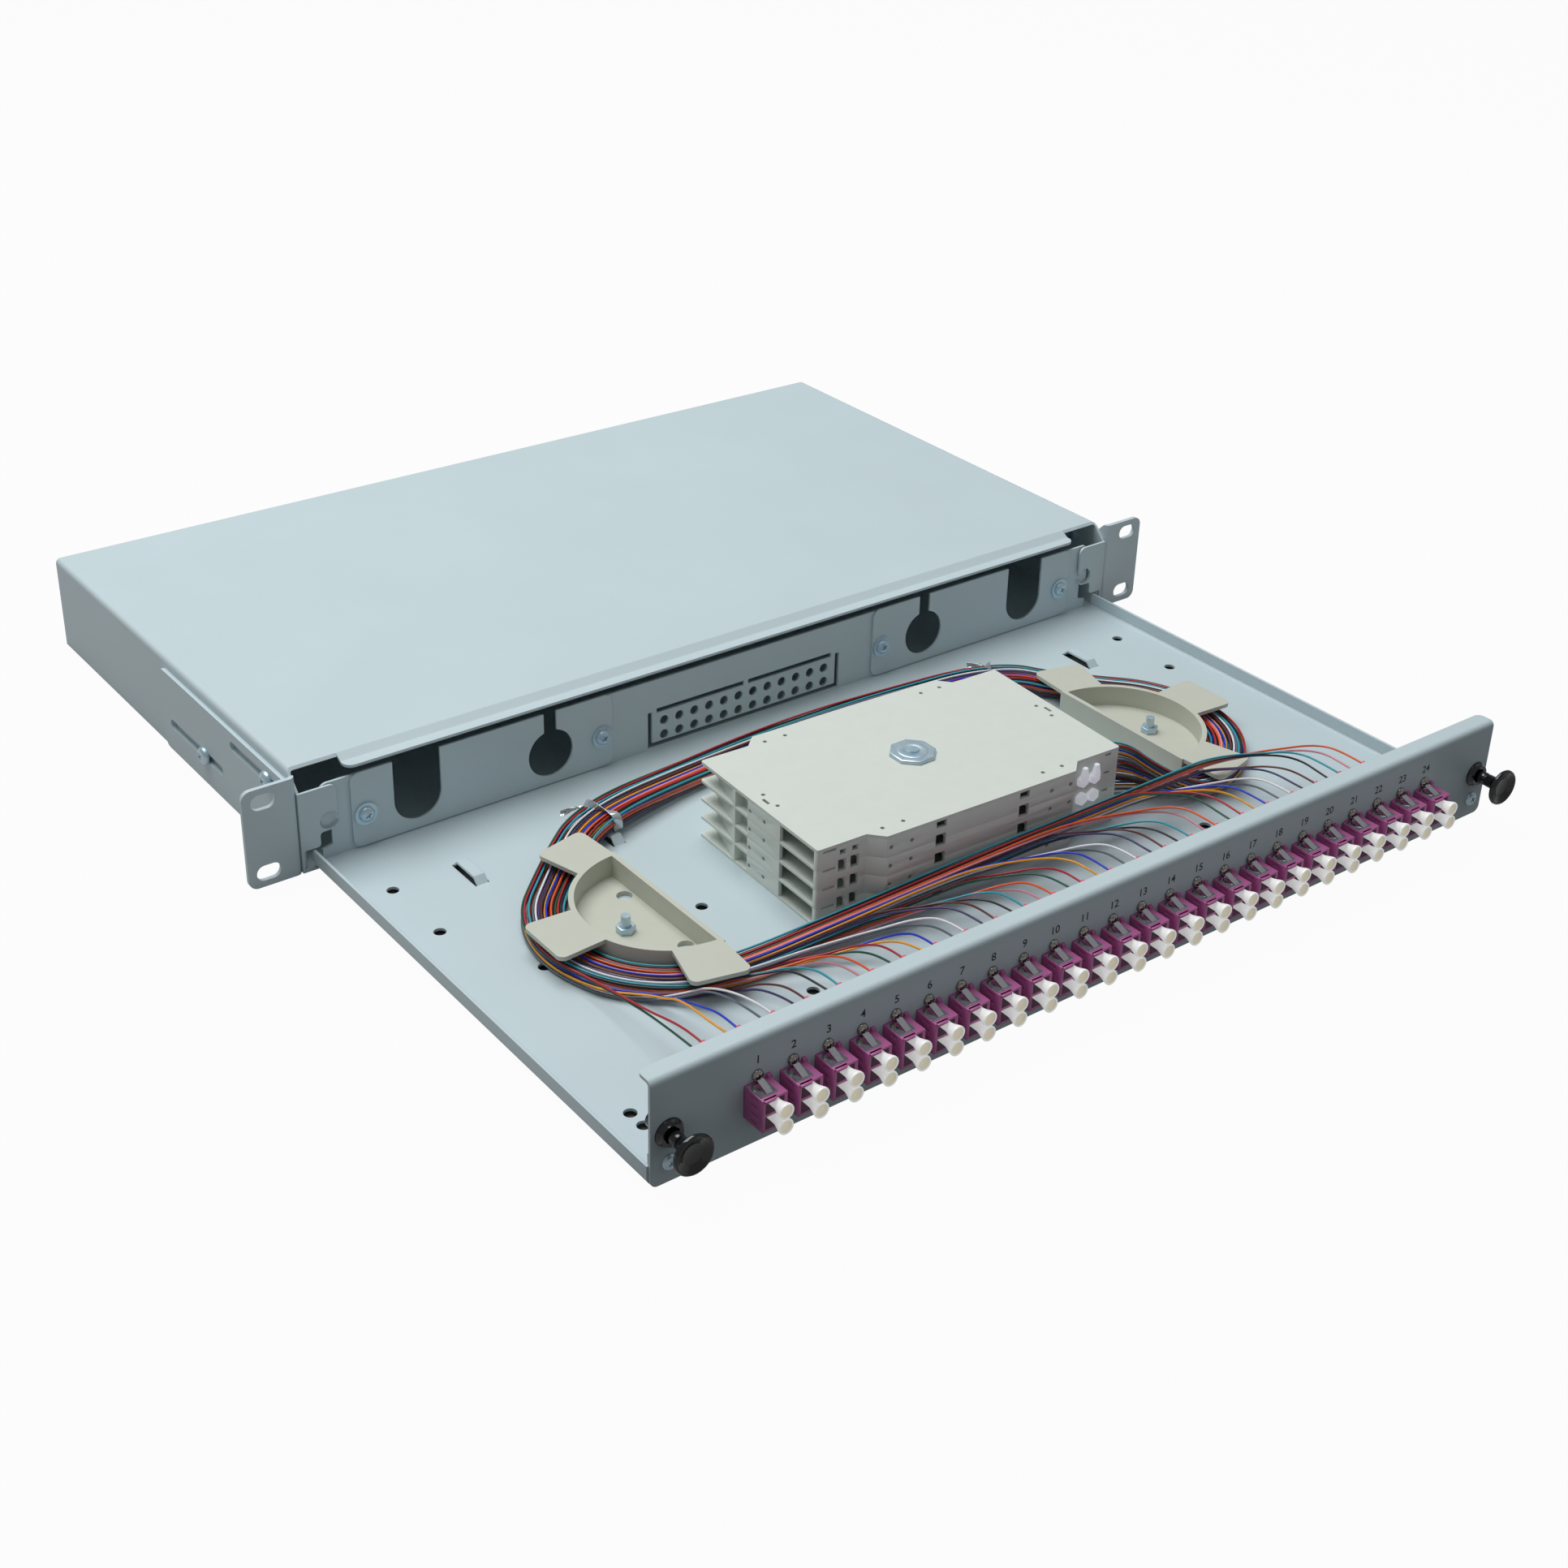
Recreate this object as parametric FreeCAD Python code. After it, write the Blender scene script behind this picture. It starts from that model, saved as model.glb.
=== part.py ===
import FreeCAD, Part
import math
import os

os.makedirs("parts", exist_ok=True)
V = FreeCAD.Vector

# A 19-inch rack fibre splice box with its drawer pulled out to the stop.
# Millimetres. The origin is the centre of the four rack slots, on the front face of the ears.
# X is to the right, -Y to the front and +Z up.

# Every fold's outer radius
fold_radius = 2.4

# Rack ears
rack_hole_inset = 8.75
rack_hole_pitch = 31.75
ear_flange_reach = 23.0
ear_height = 44.0
ear_thickness = 2.0
ear_slot_length = 10.5
ear_slot_width = 6.8
ear_corner_radius = 4.0
ear_plate_length = 127.0
ear_plate_top_drop = 4.5
ear_plate_bottom_rise = 1.6
depth_slot_length = 52.0
depth_slot_spacing = 62.0
depth_slot_front = 5.0
depth_slot_high = 11.0
depth_slot_low = -6.5
depth_screw_back = 17.5
screw_in_slot_gap = 0.2
ear_screw_radius = 2.0
ear_screw_head_radius = 4.0
ear_screw_head_height = 2.6
ear_nut_radius = 3.6
ear_nut_height = 2.6

# Casing
casing_width = 436.6
casing_height = 44.0
casing_depth = 246.5
casing_sheet = 1.2
casing_corner_setback = 9.0
casing_corner_width = 21.8
lip_step = 2.3
lip_flat = 5.0
lip_end_radius = 4.0
tab_reach = 16.7
tab_top = 14.0
tab_step = -6.0
tab_bottom = -12.2
tab_stem_reach = 8.5
tab_corner_radius = 3.0
latch_hole_radius = 4.0
base_flange_height = 9.5
rear_opening_width = 118.0
rear_opening_height = 30.0
rear_opening_corner = 6.0

# Drawer tray
tray_sheet = 1.2
tray_half_width = 213.4
tray_floor_gap = 0.2
tray_stop_gap = 0.6
tray_flange_height = 7.6
tray_wall_half_width = 208.5
tray_wall_height = 34.9
tray_wall_corner = 4.0
floor_hole_radius = 2.5
bridge_length = 19.0
bridge_width = 5.0
bridge_rise = 3.0
bridge_sheet = 1.0
bridge_outer_x = 166.0
bridge_inner_x = 105.5
bridge_outer_y = -41.0
bridge_inner_y = -47.0
panel_tab_width = 14.0
panel_tab_height = 12.0
entry_window_inner = 84.0
entry_window_outer = 183.0
entry_window_rise = 3.2
notch_radius = 9.0
tie_plate_half_width = 50.4
tie_slot_width = 2.2
tie_plate_top = -1.0
tie_slot_bottom = 0.9
tie_bridge_width = 2.4
tie_hole_radius = 2.2
tie_hole_count = 12
tie_hole_pitch = 8.0
tie_hole_row_gap = 7.0
tie_hole_top_row = -6.6

# Front panel
panel_side_step = 0.7
panel_height = 43.2
panel_bottom = -21.9
panel_sheet = 1.2
panel_front = -237.7
panel_flange_depth = 8.2
panel_corner_radius = 3.0
panel_fixing_x = 205.3
panel_fixing_z = -13.5
panel_screw_radius = 1.5
panel_screw_head_radius = 3.2
panel_screw_head_height = 1.8
panel_nut_height = 2.4

# Adapters, their clips, screws, dust caps and connectors
adapter_count = 24
adapter_pitch = 14.8
adapter_width = 10.3
adapter_height = 13.0
adapter_centre_z = -3.0
adapter_front_reach = 10.3
adapter_back_reach = 11.7
adapter_hole_gap = 0.15
adapter_flange_height = 22.0
adapter_flange_thickness = 1.6
adapter_fixing_spacing = 18.0
adapter_lug_size = 1.6
adapter_side_slot_depth = 0.5
port_width = 7.8
port_height = 5.2
port_spacing = 6.2
port_web = 4.0
clip_sheet = 0.35
clip_start = 1.2
clip_length = 7.4
clip_width = 7.2
clip_tongue_rise = 1.2
adapter_screw_radius = 1.1
adapter_screw_head_radius = 2.3
adapter_screw_head_height = 1.7
adapter_screw_length = 6.0
dust_cap_stem_radius = 2.3
dust_cap_mouth_radius = 3.05
dust_cap_reach = 5.3
dust_cap_depth = 6.5
dust_cap_mouth_length = 2.6
dust_cap_bore_radius = 1.9
dust_cap_offset = 0.9
plug_body_size = 4.6
plug_body_length = 10.0
plug_insert = 6.0
plug_clip_length = 3.0
boot_length = 8.0
boot_root_radius = 1.7
boot_tip_radius = 1.1

# Push latches
latch_x = 205.5
latch_z = -1.5
grommet_flange_radius = 5.5
grommet_flange_height = 2.6
grommet_leg_radius = 3.3
grommet_leg_length = 9.0
grommet_bore_radius = 2.0
plunger_pin_radius = 1.8
plunger_neck_radius = 2.7
plunger_disc_radius = 7.8
plunger_disc_thickness = 2.6
plunger_out = 12.8
plunger_pin_depth = 3.0

# Cable entry plates
entry_plate_inner = 71.5
entry_plate_outer = 195.2
entry_plate_height = 34.0
entry_plate_sheet = 1.0
entry_plate_floor_gap = 0.5
entry_plate_corner = 4.0
u_slot_x = 165.5
u_slot_radius = 10.8
u_slot_bottom = -14.5
keyhole_x = 102.4
keyhole_radius = 10.8
keyhole_z = -4.2
keyhole_neck = 6.2
entry_screw_outer = 189.3
entry_screw_inner = 77.0
entry_screw_z = -4.2
entry_screw_radius = 1.9
entry_screw_head_radius = 3.4
entry_screw_head_height = 1.9
entry_screw_tail = 3.0
entry_washer_radius = 5.0
entry_washer_thickness = 0.9

# Fibre guides
fixing_line_y = -112.8
guide_x = 120.6
guide_radius = 38.0
guide_height = 11.4
guide_wall = 2.2
guide_floor = 2.0
guide_wing_reach = 56.5
guide_wing_thickness = 1.8
guide_wing_half_width = 13.6
guide_wing_root_half_width = 11.6
guide_end_wing_reach = 59.0
guide_end_wing_slant = 5.5
guide_end_wing_width = 26.0
guide_end_wing_root = 19.0
guide_wing_corner = 3.0
guide_hole_radius = 3.2
guide_hole_x = 6.0
guide_hole_spread = 21.0
guide_stud_x = 19.2
guide_stud_radius = 1.9
guide_stud_top = 9.2
guide_nut_flats = 6.8
guide_nut_height = 2.6
thread_gap = 0.05

# Splice cassette stack
stack_turn = -2.4
cassette_count = 4
cassette_pitch = 8.4
cassette_half_length = 76.2
cassette_half_corner = 40.8
cassette_half_middle = 46.5
cassette_middle_half_length = 47.5
cassette_floor = 1.2
cassette_wall = 1.6
cassette_slot_start = 13.5
cassette_slot_end = 37.0
left_entry_start = 15.8
left_entry_end = 38.6
pocket_start = 6.6
pocket_end = 15.4
pocket_depth = 4.4
pocket_wall = 1.2
pocket_hole_width = 3.4
pocket_hole_low = 3.4
pocket_hole_high = 5.4
shelf_start = pocket_end + pocket_wall
shelf_corner = 7.0
shelf_wall = 1.6
cassette_window_x = 21.0
cassette_window_width = 5.0
corner_window_places = (-64.3, -58.4)
corner_window_width = 4.0
top_window_width = 2.8
top_window_height = 2.2
top_window_drop = 1.7
notch_depth = 3.0
notch_rise = 2.4
seam_slot_height = 1.0
seam_slot_places = ((-73.5, -67.4), (68.5, 71.6))
cassette_pin_hole = 0.95
cassette_pin_near = 35.3
cassette_pin_far = 45.3
cassette_boss_radius = 6.0
lid_thickness = 1.4
lid_hole_radius = 0.9
lid_hole_inset = 6.2
lid_side_hole_y = 5.0
lid_slot_length = 4.2
lid_slot_width = 1.3
stud_radius = 2.5
stud_clearance = 0.3
stud_tip = 0.7
stack_nut_flats = 18.6
stack_nut_height = 1.6
comb_length = 24.0
comb_width = 19.4
comb_height = 6.0
comb_base = 0.8
comb_centre = 22.0
sleeve_radius = 1.25
sleeve_length = 42.0
sleeve_columns = 6
sleeve_layers = 2
sleeve_pitch = 3.0
sleeve_gap = 0.05
link_insets = (19.8, 13.6)
link_flats = 4.8
link_head = 2.2
link_stem_radius = 1.2

# Pigtail pairs, laid side by side in lanes and one above the other in layers
pair_diameter = 1.8
pair_clear = 0.3
lane_count = 8
layer_count = 3
lane_pitch = 2.1
layer_pitch = 2.3
lane_clear = 1.5
bearing_step = 30.0
front_points = 5
front_drift = 11.0
front_rise = 13.0
lead_straight = 14.5
lead_first_share = 0.5
lead_first_fall = 0.45
lead_middle_bow = 0.04
lead_middle_fall = 0.8
lead_last_share = 0.3
lead_last_fall = 0.97

# Bands round the bundle where it crosses the two inner bridges
tie_band = 0.6
tie_band_width = 3.0
tie_gap = 0.35

# Places worked out from the sizes
casing_bottom = -casing_height / 2
casing_top = casing_height / 2
casing_half = casing_width / 2
wall_inner = casing_half - casing_sheet
base_top = casing_bottom + casing_sheet
tray_bottom = base_top + tray_floor_gap
tray_top = tray_bottom + tray_sheet
tray_wall_front = casing_sheet + tray_stop_gap
tray_wall_back = tray_wall_front + tray_sheet
panel_back = panel_front + panel_sheet
panel_top = panel_bottom + panel_height
lane_mid = (lane_count - 1) / 2
bundle_radius = guide_radius + lane_clear + pair_diameter / 2 + lane_mid * lane_pitch
bundle_floor = tray_top + pair_clear + pair_diameter / 2
bundle_on_bridge = tray_top + bridge_rise + tie_band + tie_gap + pair_diameter / 2


def box(x0, x1, y0, y1, z0, z1):
    return Part.makeBox(abs(x1 - x0), abs(y1 - y0), abs(z1 - z0), V(min(x0, x1), min(y0, y1), min(z0, z1)))


def rod(x, y, z, radius, length, direction):
    return Part.makeCylinder(radius, length, V(x, y, z), direction)


def fuse(first, *others):
    return first.multiFuse(list(others)).removeSplitter() if others else first


def cut(first, tools):
    return first.cut(Part.makeCompound(list(tools)))


def mirror(shape):
    """The same piece on the other side of the X = 0 plane."""
    return shape.mirror(V(0, 0, 0), V(1, 0, 0))


def both(shape):
    return [shape, mirror(shape)]


def loop(corners, place):
    """A closed wire through flat corners (u, v, radius), each rounded by its radius."""
    flat = [V(u, v, 0) for u, v, _ in corners]
    ends = []
    count = len(corners)
    for i, (_, _, radius) in enumerate(corners):
        here = flat[i]
        back = (flat[i - 1] - here).normalize()
        ahead = (flat[(i + 1) % count] - here).normalize()
        half = back.getAngle(ahead) / 2
        if radius <= 0:
            ends.append((here, None, here))
            continue
        reach = radius / math.tan(half)
        bisector = (back + ahead).normalize()
        centre = here + bisector * (radius / math.sin(half))
        ends.append((here + back * reach, centre - bisector * radius, here + ahead * reach))
    edges = []
    for i in range(count):
        start, middle, end = ends[i]
        if middle is not None:
            edges.append(Part.Arc(place(start), place(middle), place(end)).toShape())
        following = ends[(i + 1) % count][0]
        if (following - end).Length > 1e-6:
            edges.append(Part.LineSegment(place(end), place(following)).toShape())
    return Part.Wire(Part.__sortEdges__(edges))


def slab_z(corners, z0, z1):
    """A plate with a flat outline in X and Y."""
    face = Part.Face(loop(corners, lambda p: V(p.x, p.y, z0)))
    return face.extrude(V(0, 0, z1 - z0))


def slab_y(corners, y0, y1):
    """A plate with a flat outline in X and Z."""
    face = Part.Face(loop(corners, lambda p: V(p.x, y0, p.y)))
    return face.extrude(V(0, y1 - y0, 0))


def slab_x(corners, x0, x1):
    """A plate with a flat outline in Y and Z."""
    face = Part.Face(loop(corners, lambda p: V(x0, p.x, p.y)))
    return face.extrude(V(x1 - x0, 0, 0))


def rectangle(u0, u1, v0, v1, radius):
    return [(u0, v0, radius), (u1, v0, radius), (u1, v1, radius), (u0, v1, radius)]


def polygon_prism(x, y, z, flats, height, sides, direction, turn=0.0):
    """A straight prism of equal sides, standing on its first face."""
    reach = flats / 2 / math.cos(math.pi / sides)
    upright = abs(direction.z) > 0.5
    points = []
    for i in range(sides + 1):
        angle = turn + 2 * math.pi * (i + 0.5) / sides
        across, along = reach * math.cos(angle), reach * math.sin(angle)
        points.append(V(x + across, y + along, z) if upright else V(x + across, y, z + along))
    return Part.Face(Part.makePolygon(points)).extrude(direction * height)


def pan_screw(x, y, z, head_radius, head_height, shank_radius, length, direction):
    """A screw whose head stands on the point, its shank running along the direction."""
    back = direction * -1
    seat = V(x, y, z)
    dome = (head_radius ** 2 + head_height ** 2) / (2 * head_height)
    ball = Part.makeSphere(dome, seat + direction * (dome - head_height))
    head = ball.common(Part.makeCylinder(head_radius, head_height, seat, back))
    return fuse(head, Part.makeCylinder(shank_radius, length, seat, direction))


def folded_hat(half, low, high, sheet):
    """The section of a sheet folded down, or up, on both sides, seen along Y."""
    up = 1 if high > low else -1
    inner = half - sheet
    return [(-half, low, 0), (-half, high, fold_radius), (half, high, fold_radius), (half, low, 0),
            (inner, low, 0), (inner, high - up * sheet, fold_radius - sheet),
            (-inner, high - up * sheet, fold_radius - sheet), (-inner, low, 0)]


def save(name, *shapes):
    solids = [solid for shape in shapes for solid in shape.Solids]
    whole = solids[0] if len(solids) == 1 else Part.makeCompound(solids)
    whole.exportStep(os.path.join("parts", name + ".step"))


# Casing cover: the top, both sides and the two front tabs, bent from one sheet
def casing_cover():
    hat = folded_hat(casing_half, base_top, casing_top, casing_sheet)
    shell = slab_y(hat, 0, casing_depth)
    corner = slab_x(
        [(-1, casing_top + 1, 0), (-1, casing_top - casing_corner_setback, 0), (0, casing_top - casing_corner_setback, 0),
         (casing_corner_setback, casing_top, 0), (casing_corner_setback, casing_top + 1, 0)],
        -casing_half - 1, casing_half + 1)
    shell = shell.cut(corner)
    lip_half = casing_half - casing_corner_width
    lip_top = casing_top - lip_step
    profile = [
        (0, lip_top - casing_sheet, 0),
        (lip_flat, lip_top - casing_sheet, 1.5),
        (casing_corner_setback, casing_top - casing_sheet, 1.5),
        (casing_corner_setback + 1, casing_top - casing_sheet, 0),
        (casing_corner_setback + 1, casing_top, 0),
        (casing_corner_setback, casing_top, 1.5),
        (lip_flat, lip_top, 1.5),
        (0, lip_top, 0),
    ]
    lip = slab_x(profile, -lip_half, lip_half)
    ends = slab_z(
        [
            (-lip_half, casing_corner_setback + 1, 0),
            (-lip_half, 0, lip_end_radius),
            (lip_half, 0, lip_end_radius),
            (lip_half, casing_corner_setback + 1, 0),
        ],
        casing_bottom,
        casing_top,
    )
    lip = lip.common(ends)
    tab = slab_y(
        [
            (casing_half, tab_bottom, 0),
            (casing_half, tab_top, 0),
            (casing_half - tab_reach, tab_top, tab_corner_radius),
            (casing_half - tab_reach, tab_step, tab_corner_radius),
            (casing_half - tab_stem_reach, tab_step, tab_corner_radius / 2),
            (casing_half - tab_stem_reach, tab_bottom, tab_corner_radius / 2),
        ],
        0,
        casing_sheet,
    )
    tab = cut(tab, [rod(latch_x, -1, latch_z, latch_hole_radius, casing_sheet + 2, V(0, 1, 0))])
    shape = fuse(shell, lip, tab, mirror(tab))
    return cut(shape, [rod(s * (casing_half + 1), y, z, ear_screw_radius + thread_gap, casing_sheet + 2, V(-s, 0, 0))
                       for s in (-1, 1) for y, z in depth_screws()])


# Casing base: the floor with two low side flanges and the rear wall with its cable openings
def casing_base():
    floor = box(-casing_half, casing_half, 0, casing_depth, casing_bottom, base_top)
    inner = wall_inner
    flange = box(inner - casing_sheet, inner, casing_sheet, casing_depth, base_top, base_top + base_flange_height)
    top_corner = fold_radius - casing_sheet
    wall = slab_y(
        [(-inner, base_top, 0), (inner, base_top, 0), (inner, casing_top - casing_sheet, top_corner),
         (-inner, casing_top - casing_sheet, top_corner)],
        casing_depth - casing_sheet, casing_depth)
    middle = (entry_plate_inner + entry_plate_outer) / 2
    reach = rear_opening_width / 2
    opening = slab_y(
        rectangle(middle - reach, middle + reach, -rear_opening_height / 2, rear_opening_height / 2, rear_opening_corner),
        casing_depth - casing_sheet - 1,
        casing_depth + 1,
    )
    return cut(fuse(floor, flange, mirror(flange), wall), both(opening))


def depth_screws():
    """Y and Z of the two screws that hold each ear on the casing's side."""
    front = depth_slot_front + depth_screw_back
    return [(front, depth_slot_high), (front + depth_slot_spacing, depth_slot_low)]


def ear():
    """The right ear: an angle with two rack slots and two long slots that set its depth."""
    inner, outer = casing_half, casing_half + ear_flange_reach
    half = ear_height / 2
    section = [(inner, ear_plate_length, 0), (inner, 0, fold_radius), (outer, 0, 0), (outer, ear_thickness, 0),
               (inner + ear_thickness, ear_thickness, fold_radius - ear_thickness),
               (inner + ear_thickness, ear_plate_length, 0)]
    angle = slab_z(section, -half, half)
    front = slab_y(
        [(inner - 1, -half, 0), (outer, -half, ear_corner_radius), (outer, half, ear_corner_radius), (inner - 1, half, 0)],
        -1, ear_plate_length)
    side = slab_x(
        [
            (-1, -half, 0),
            (fold_radius, -half, 0),
            (fold_radius + ear_plate_bottom_rise, -half + ear_plate_bottom_rise, 0),
            (ear_plate_length, -half + ear_plate_bottom_rise, ear_corner_radius),
            (ear_plate_length, half - ear_plate_top_drop, ear_corner_radius),
            (fold_radius + ear_plate_top_drop, half - ear_plate_top_drop, 0),
            (fold_radius, half, 0),
            (-1, half, 0),
        ],
        inner - 1,
        outer + 1,
    )
    angle = angle.common(front).common(side)
    tools = []
    middle, reach, wide = outer - rack_hole_inset, ear_slot_length / 2, ear_slot_width / 2
    for z in (-rack_hole_pitch / 2, rack_hole_pitch / 2):
        corners = rectangle(middle - reach, middle + reach, z - wide, z + wide, wide - 0.001)
        tools.append(slab_y(corners, -1, ear_thickness + 1))
    wide = ear_screw_radius + screw_in_slot_gap
    for i, z in enumerate((depth_slot_high, depth_slot_low)):
        start = depth_slot_front + i * depth_slot_spacing
        corners = rectangle(start, start + depth_slot_length, z - wide, z + wide, wide - 0.001)
        tools.append(slab_x(corners, inner - 1, inner + ear_thickness + 1))
    return cut(angle, tools)


def ear_screws():
    seat = casing_half + ear_thickness
    length = ear_thickness + casing_sheet + ear_nut_height
    return [pan_screw(s * seat, y, z, ear_screw_head_radius, ear_screw_head_height, ear_screw_radius, length, V(-s, 0, 0))
            for s in (-1, 1) for y, z in depth_screws()]


def ear_nuts():
    nuts = []
    for s in (-1, 1):
        for y, z in depth_screws():
            inward = V(-s, 0, 0)
            ring = rod(s * wall_inner, y, z, ear_nut_radius, ear_nut_height, inward)
            hole = rod(s * casing_half, y, z, ear_screw_radius + thread_gap, 2 * casing_sheet + ear_nut_height, inward)
            nuts.append(cut(ring, [hole]))
    return nuts


# Drawer tray: floor, low side flanges, rear wall with entries and tie plate, and lanced bridges
def bridge_places():
    return [(s * x, y) for s in (-1, 1) for x, y in ((bridge_outer_x, bridge_outer_y), (bridge_inner_x, bridge_inner_y))]


def bridge(x, y):
    """A strip of the floor pressed up into a loop for a cable tie."""
    half, run = bridge_length / 2, bridge_rise
    under = tray_top + bridge_rise - bridge_sheet
    profile = [
        (y - half, tray_top - bridge_sheet, 0),
        (y - half, tray_top, 0),
        (y - half + run, under + bridge_sheet, bridge_sheet),
        (y + half - run, under + bridge_sheet, bridge_sheet),
        (y + half, tray_top, 0),
        (y + half, tray_top - bridge_sheet, 0),
        (y + half - run, under, 0),
        (y - half + run, under, 0),
    ]
    return slab_x(profile, x - bridge_width / 2, x + bridge_width / 2)


def floor_hole_places():
    right = [(197.0, -34.4), (196.3, -70.3), (176.0, -112.8), (104.5, -112.8), (103.3, -182.5)]
    right += [(197.8, -203.4), (197.8, -211.5)]
    return [(s * x, y) for s in (-1, 1) for x, y in right]


def tie_plate_tools():
    """Slots that free the fold-out tie plate on three sides, and its two rows of holes."""
    y0, y1 = tray_wall_front - 1, tray_wall_back + 1
    half, wide = tie_plate_half_width, tie_slot_width
    low = tray_top + tie_slot_bottom
    high = tie_plate_top
    tools = [box(s * half, s * (half + wide), y0, y1, low, high) for s in (-1, 1)]
    tools.append(box(-half - wide, half + wide, y0, y1, low, low + wide))
    for s in (-1, 1):
        near, far = s * tie_bridge_width / 2, s * (half - tie_bridge_width)
        tools.append(box(near, far, y0, y1, high - wide / 2, high + wide / 2))
    first = -tie_hole_pitch * (tie_hole_count - 1) / 2
    for i in range(tie_hole_count):
        for row in (0, 1):
            z = tie_hole_top_row - row * tie_hole_row_gap
            tools.append(rod(first + i * tie_hole_pitch, y0, z, tie_hole_radius, y1 - y0, V(0, 1, 0)))
    return tools


def tray():
    trough = slab_y(folded_hat(tray_half_width, tray_bottom + tray_flange_height, tray_bottom, tray_sheet),
                    panel_back, tray_wall_front - tray_sheet)
    back = box(-tray_wall_half_width, tray_wall_half_width, tray_wall_front - tray_sheet - 1, tray_wall_back,
               tray_bottom, tray_top)
    half, top = tray_wall_half_width, tray_bottom + tray_wall_height
    wall = slab_y([(-half, tray_bottom, 0), (half, tray_bottom, 0), (half, top, tray_wall_corner),
                   (-half, top, tray_wall_corner)], tray_wall_front, tray_wall_back)
    front_tab = box(panel_fixing_x - panel_tab_width / 2, panel_fixing_x + panel_tab_width / 2,
                    panel_back, panel_back + tray_sheet, tray_bottom, tray_bottom + panel_tab_height)
    tools = [rod(x, y, tray_bottom - 1, floor_hole_radius, tray_sheet + 2, V(0, 0, 1)) for x, y in floor_hole_places()]
    for x, y in bridge_places():
        tools.append(box(x - bridge_width / 2 - 0.6, x + bridge_width / 2 + 0.6, y - bridge_length / 2,
                         y + bridge_length / 2, tray_bottom - 1, tray_top + 1))
    window_low = tray_top + entry_window_rise
    window = slab_y(
        [(entry_window_inner, window_low, 3), (entry_window_outer, window_low, 3),
         (entry_window_outer, top + 9, 0), (entry_window_inner, top + 9, 0)],
        tray_wall_front - 1, tray_wall_back + 1)
    notch = rod(tray_wall_half_width, tray_wall_front - 1, tab_step, notch_radius, tray_sheet + 2, V(0, 1, 0))
    notch = notch.common(box(tray_wall_half_width - notch_radius / 2, tray_wall_half_width + 9, -9, 9,
                             tab_step - notch_radius, tab_step))
    tools += both(window) + both(notch) + tie_plate_tools()
    tools += [rod(s * x, tray_wall_front - 1, entry_screw_z, entry_screw_radius + thread_gap, tray_sheet + 2, V(0, 1, 0))
              for s in (-1, 1) for x in (entry_screw_inner, entry_screw_outer)]
    tools += [rod(s * panel_fixing_x, panel_back - 1, panel_fixing_z, panel_screw_radius + thread_gap, tray_sheet + 2,
                  V(0, 1, 0)) for s in (-1, 1)]
    tools += [rod(x, fixing_line_y, tray_bottom - 1, radius + thread_gap, tray_sheet + 2, V(0, 0, 1))
              for x, radius in ((0, stud_radius), (-guide_x - guide_stud_x, guide_stud_radius),
                                (guide_x + guide_stud_x, guide_stud_radius))]
    shape = cut(fuse(trough, back, wall, front_tab, mirror(front_tab)), tools)
    return fuse(shape, *[bridge(x, y) for x, y in bridge_places()])


def tray_and_edges():
    """The floor with its walls in one solid, and the two upturned edges that meet it at their inner faces."""
    whole = tray()
    split = tray_half_width - tray_sheet
    y0, y1, z1 = panel_front, tray_wall_back, casing_top
    floor = whole.common(box(-split, split, y0, y1, casing_bottom, z1))
    edge = whole.common(box(split, casing_half, y0, y1, casing_bottom, z1))
    return floor, edge, mirror(edge)


# Front panel with a top flange that slides over the casing's lip
def adapter_places():
    first = -adapter_pitch * (adapter_count - 1) / 2
    return [first + i * adapter_pitch for i in range(adapter_count)]


def adapter_fixings():
    return [(x, adapter_centre_z + s * adapter_fixing_spacing / 2) for x in adapter_places() for s in (-1, 1)]


def front_panel():
    half = tray_half_width - panel_side_step
    flange_back = panel_front + panel_flange_depth
    section = [(panel_front, panel_bottom, 0), (panel_front, panel_top, fold_radius), (flange_back, panel_top, 0),
               (flange_back, panel_top - panel_sheet, 0), (panel_back, panel_top - panel_sheet, fold_radius - panel_sheet),
               (panel_back, panel_bottom, 0)]
    angle = slab_x(section, -half, half)
    front = slab_y(
        [(-half, panel_bottom, panel_corner_radius), (half, panel_bottom, panel_corner_radius), (half, panel_top, 0),
         (-half, panel_top, 0)],
        panel_front - 1, flange_back + 1)
    above = slab_z(
        [(-half, panel_front - 1, 0), (half, panel_front - 1, 0), (half, flange_back, panel_corner_radius),
         (-half, flange_back, panel_corner_radius)],
        panel_bottom - 1, panel_top + 1)
    angle = angle.common(front).common(above)
    wide = adapter_width / 2 + adapter_hole_gap
    high = adapter_height / 2 + adapter_hole_gap
    y0, y1 = panel_front - 1, panel_back + 1
    tools = [box(x - wide, x + wide, y0, y1, adapter_centre_z - high, adapter_centre_z + high)
             for x in adapter_places()]
    tools += [rod(x, y0, z, adapter_screw_radius + thread_gap, y1 - y0, V(0, 1, 0)) for x, z in adapter_fixings()]
    for s in (-1, 1):
        tools.append(rod(s * latch_x, y0, latch_z, grommet_leg_radius + thread_gap, y1 - y0, V(0, 1, 0)))
        tools.append(rod(s * panel_fixing_x, y0, panel_fixing_z, panel_screw_radius + thread_gap, y1 - y0, V(0, 1, 0)))
    return cut(angle, tools)


def panel_screws():
    length = panel_sheet + tray_sheet + panel_nut_height
    return [pan_screw(s * panel_fixing_x, panel_front, panel_fixing_z, panel_screw_head_radius, panel_screw_head_height,
                      panel_screw_radius, length, V(0, 1, 0)) for s in (-1, 1)]


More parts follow.
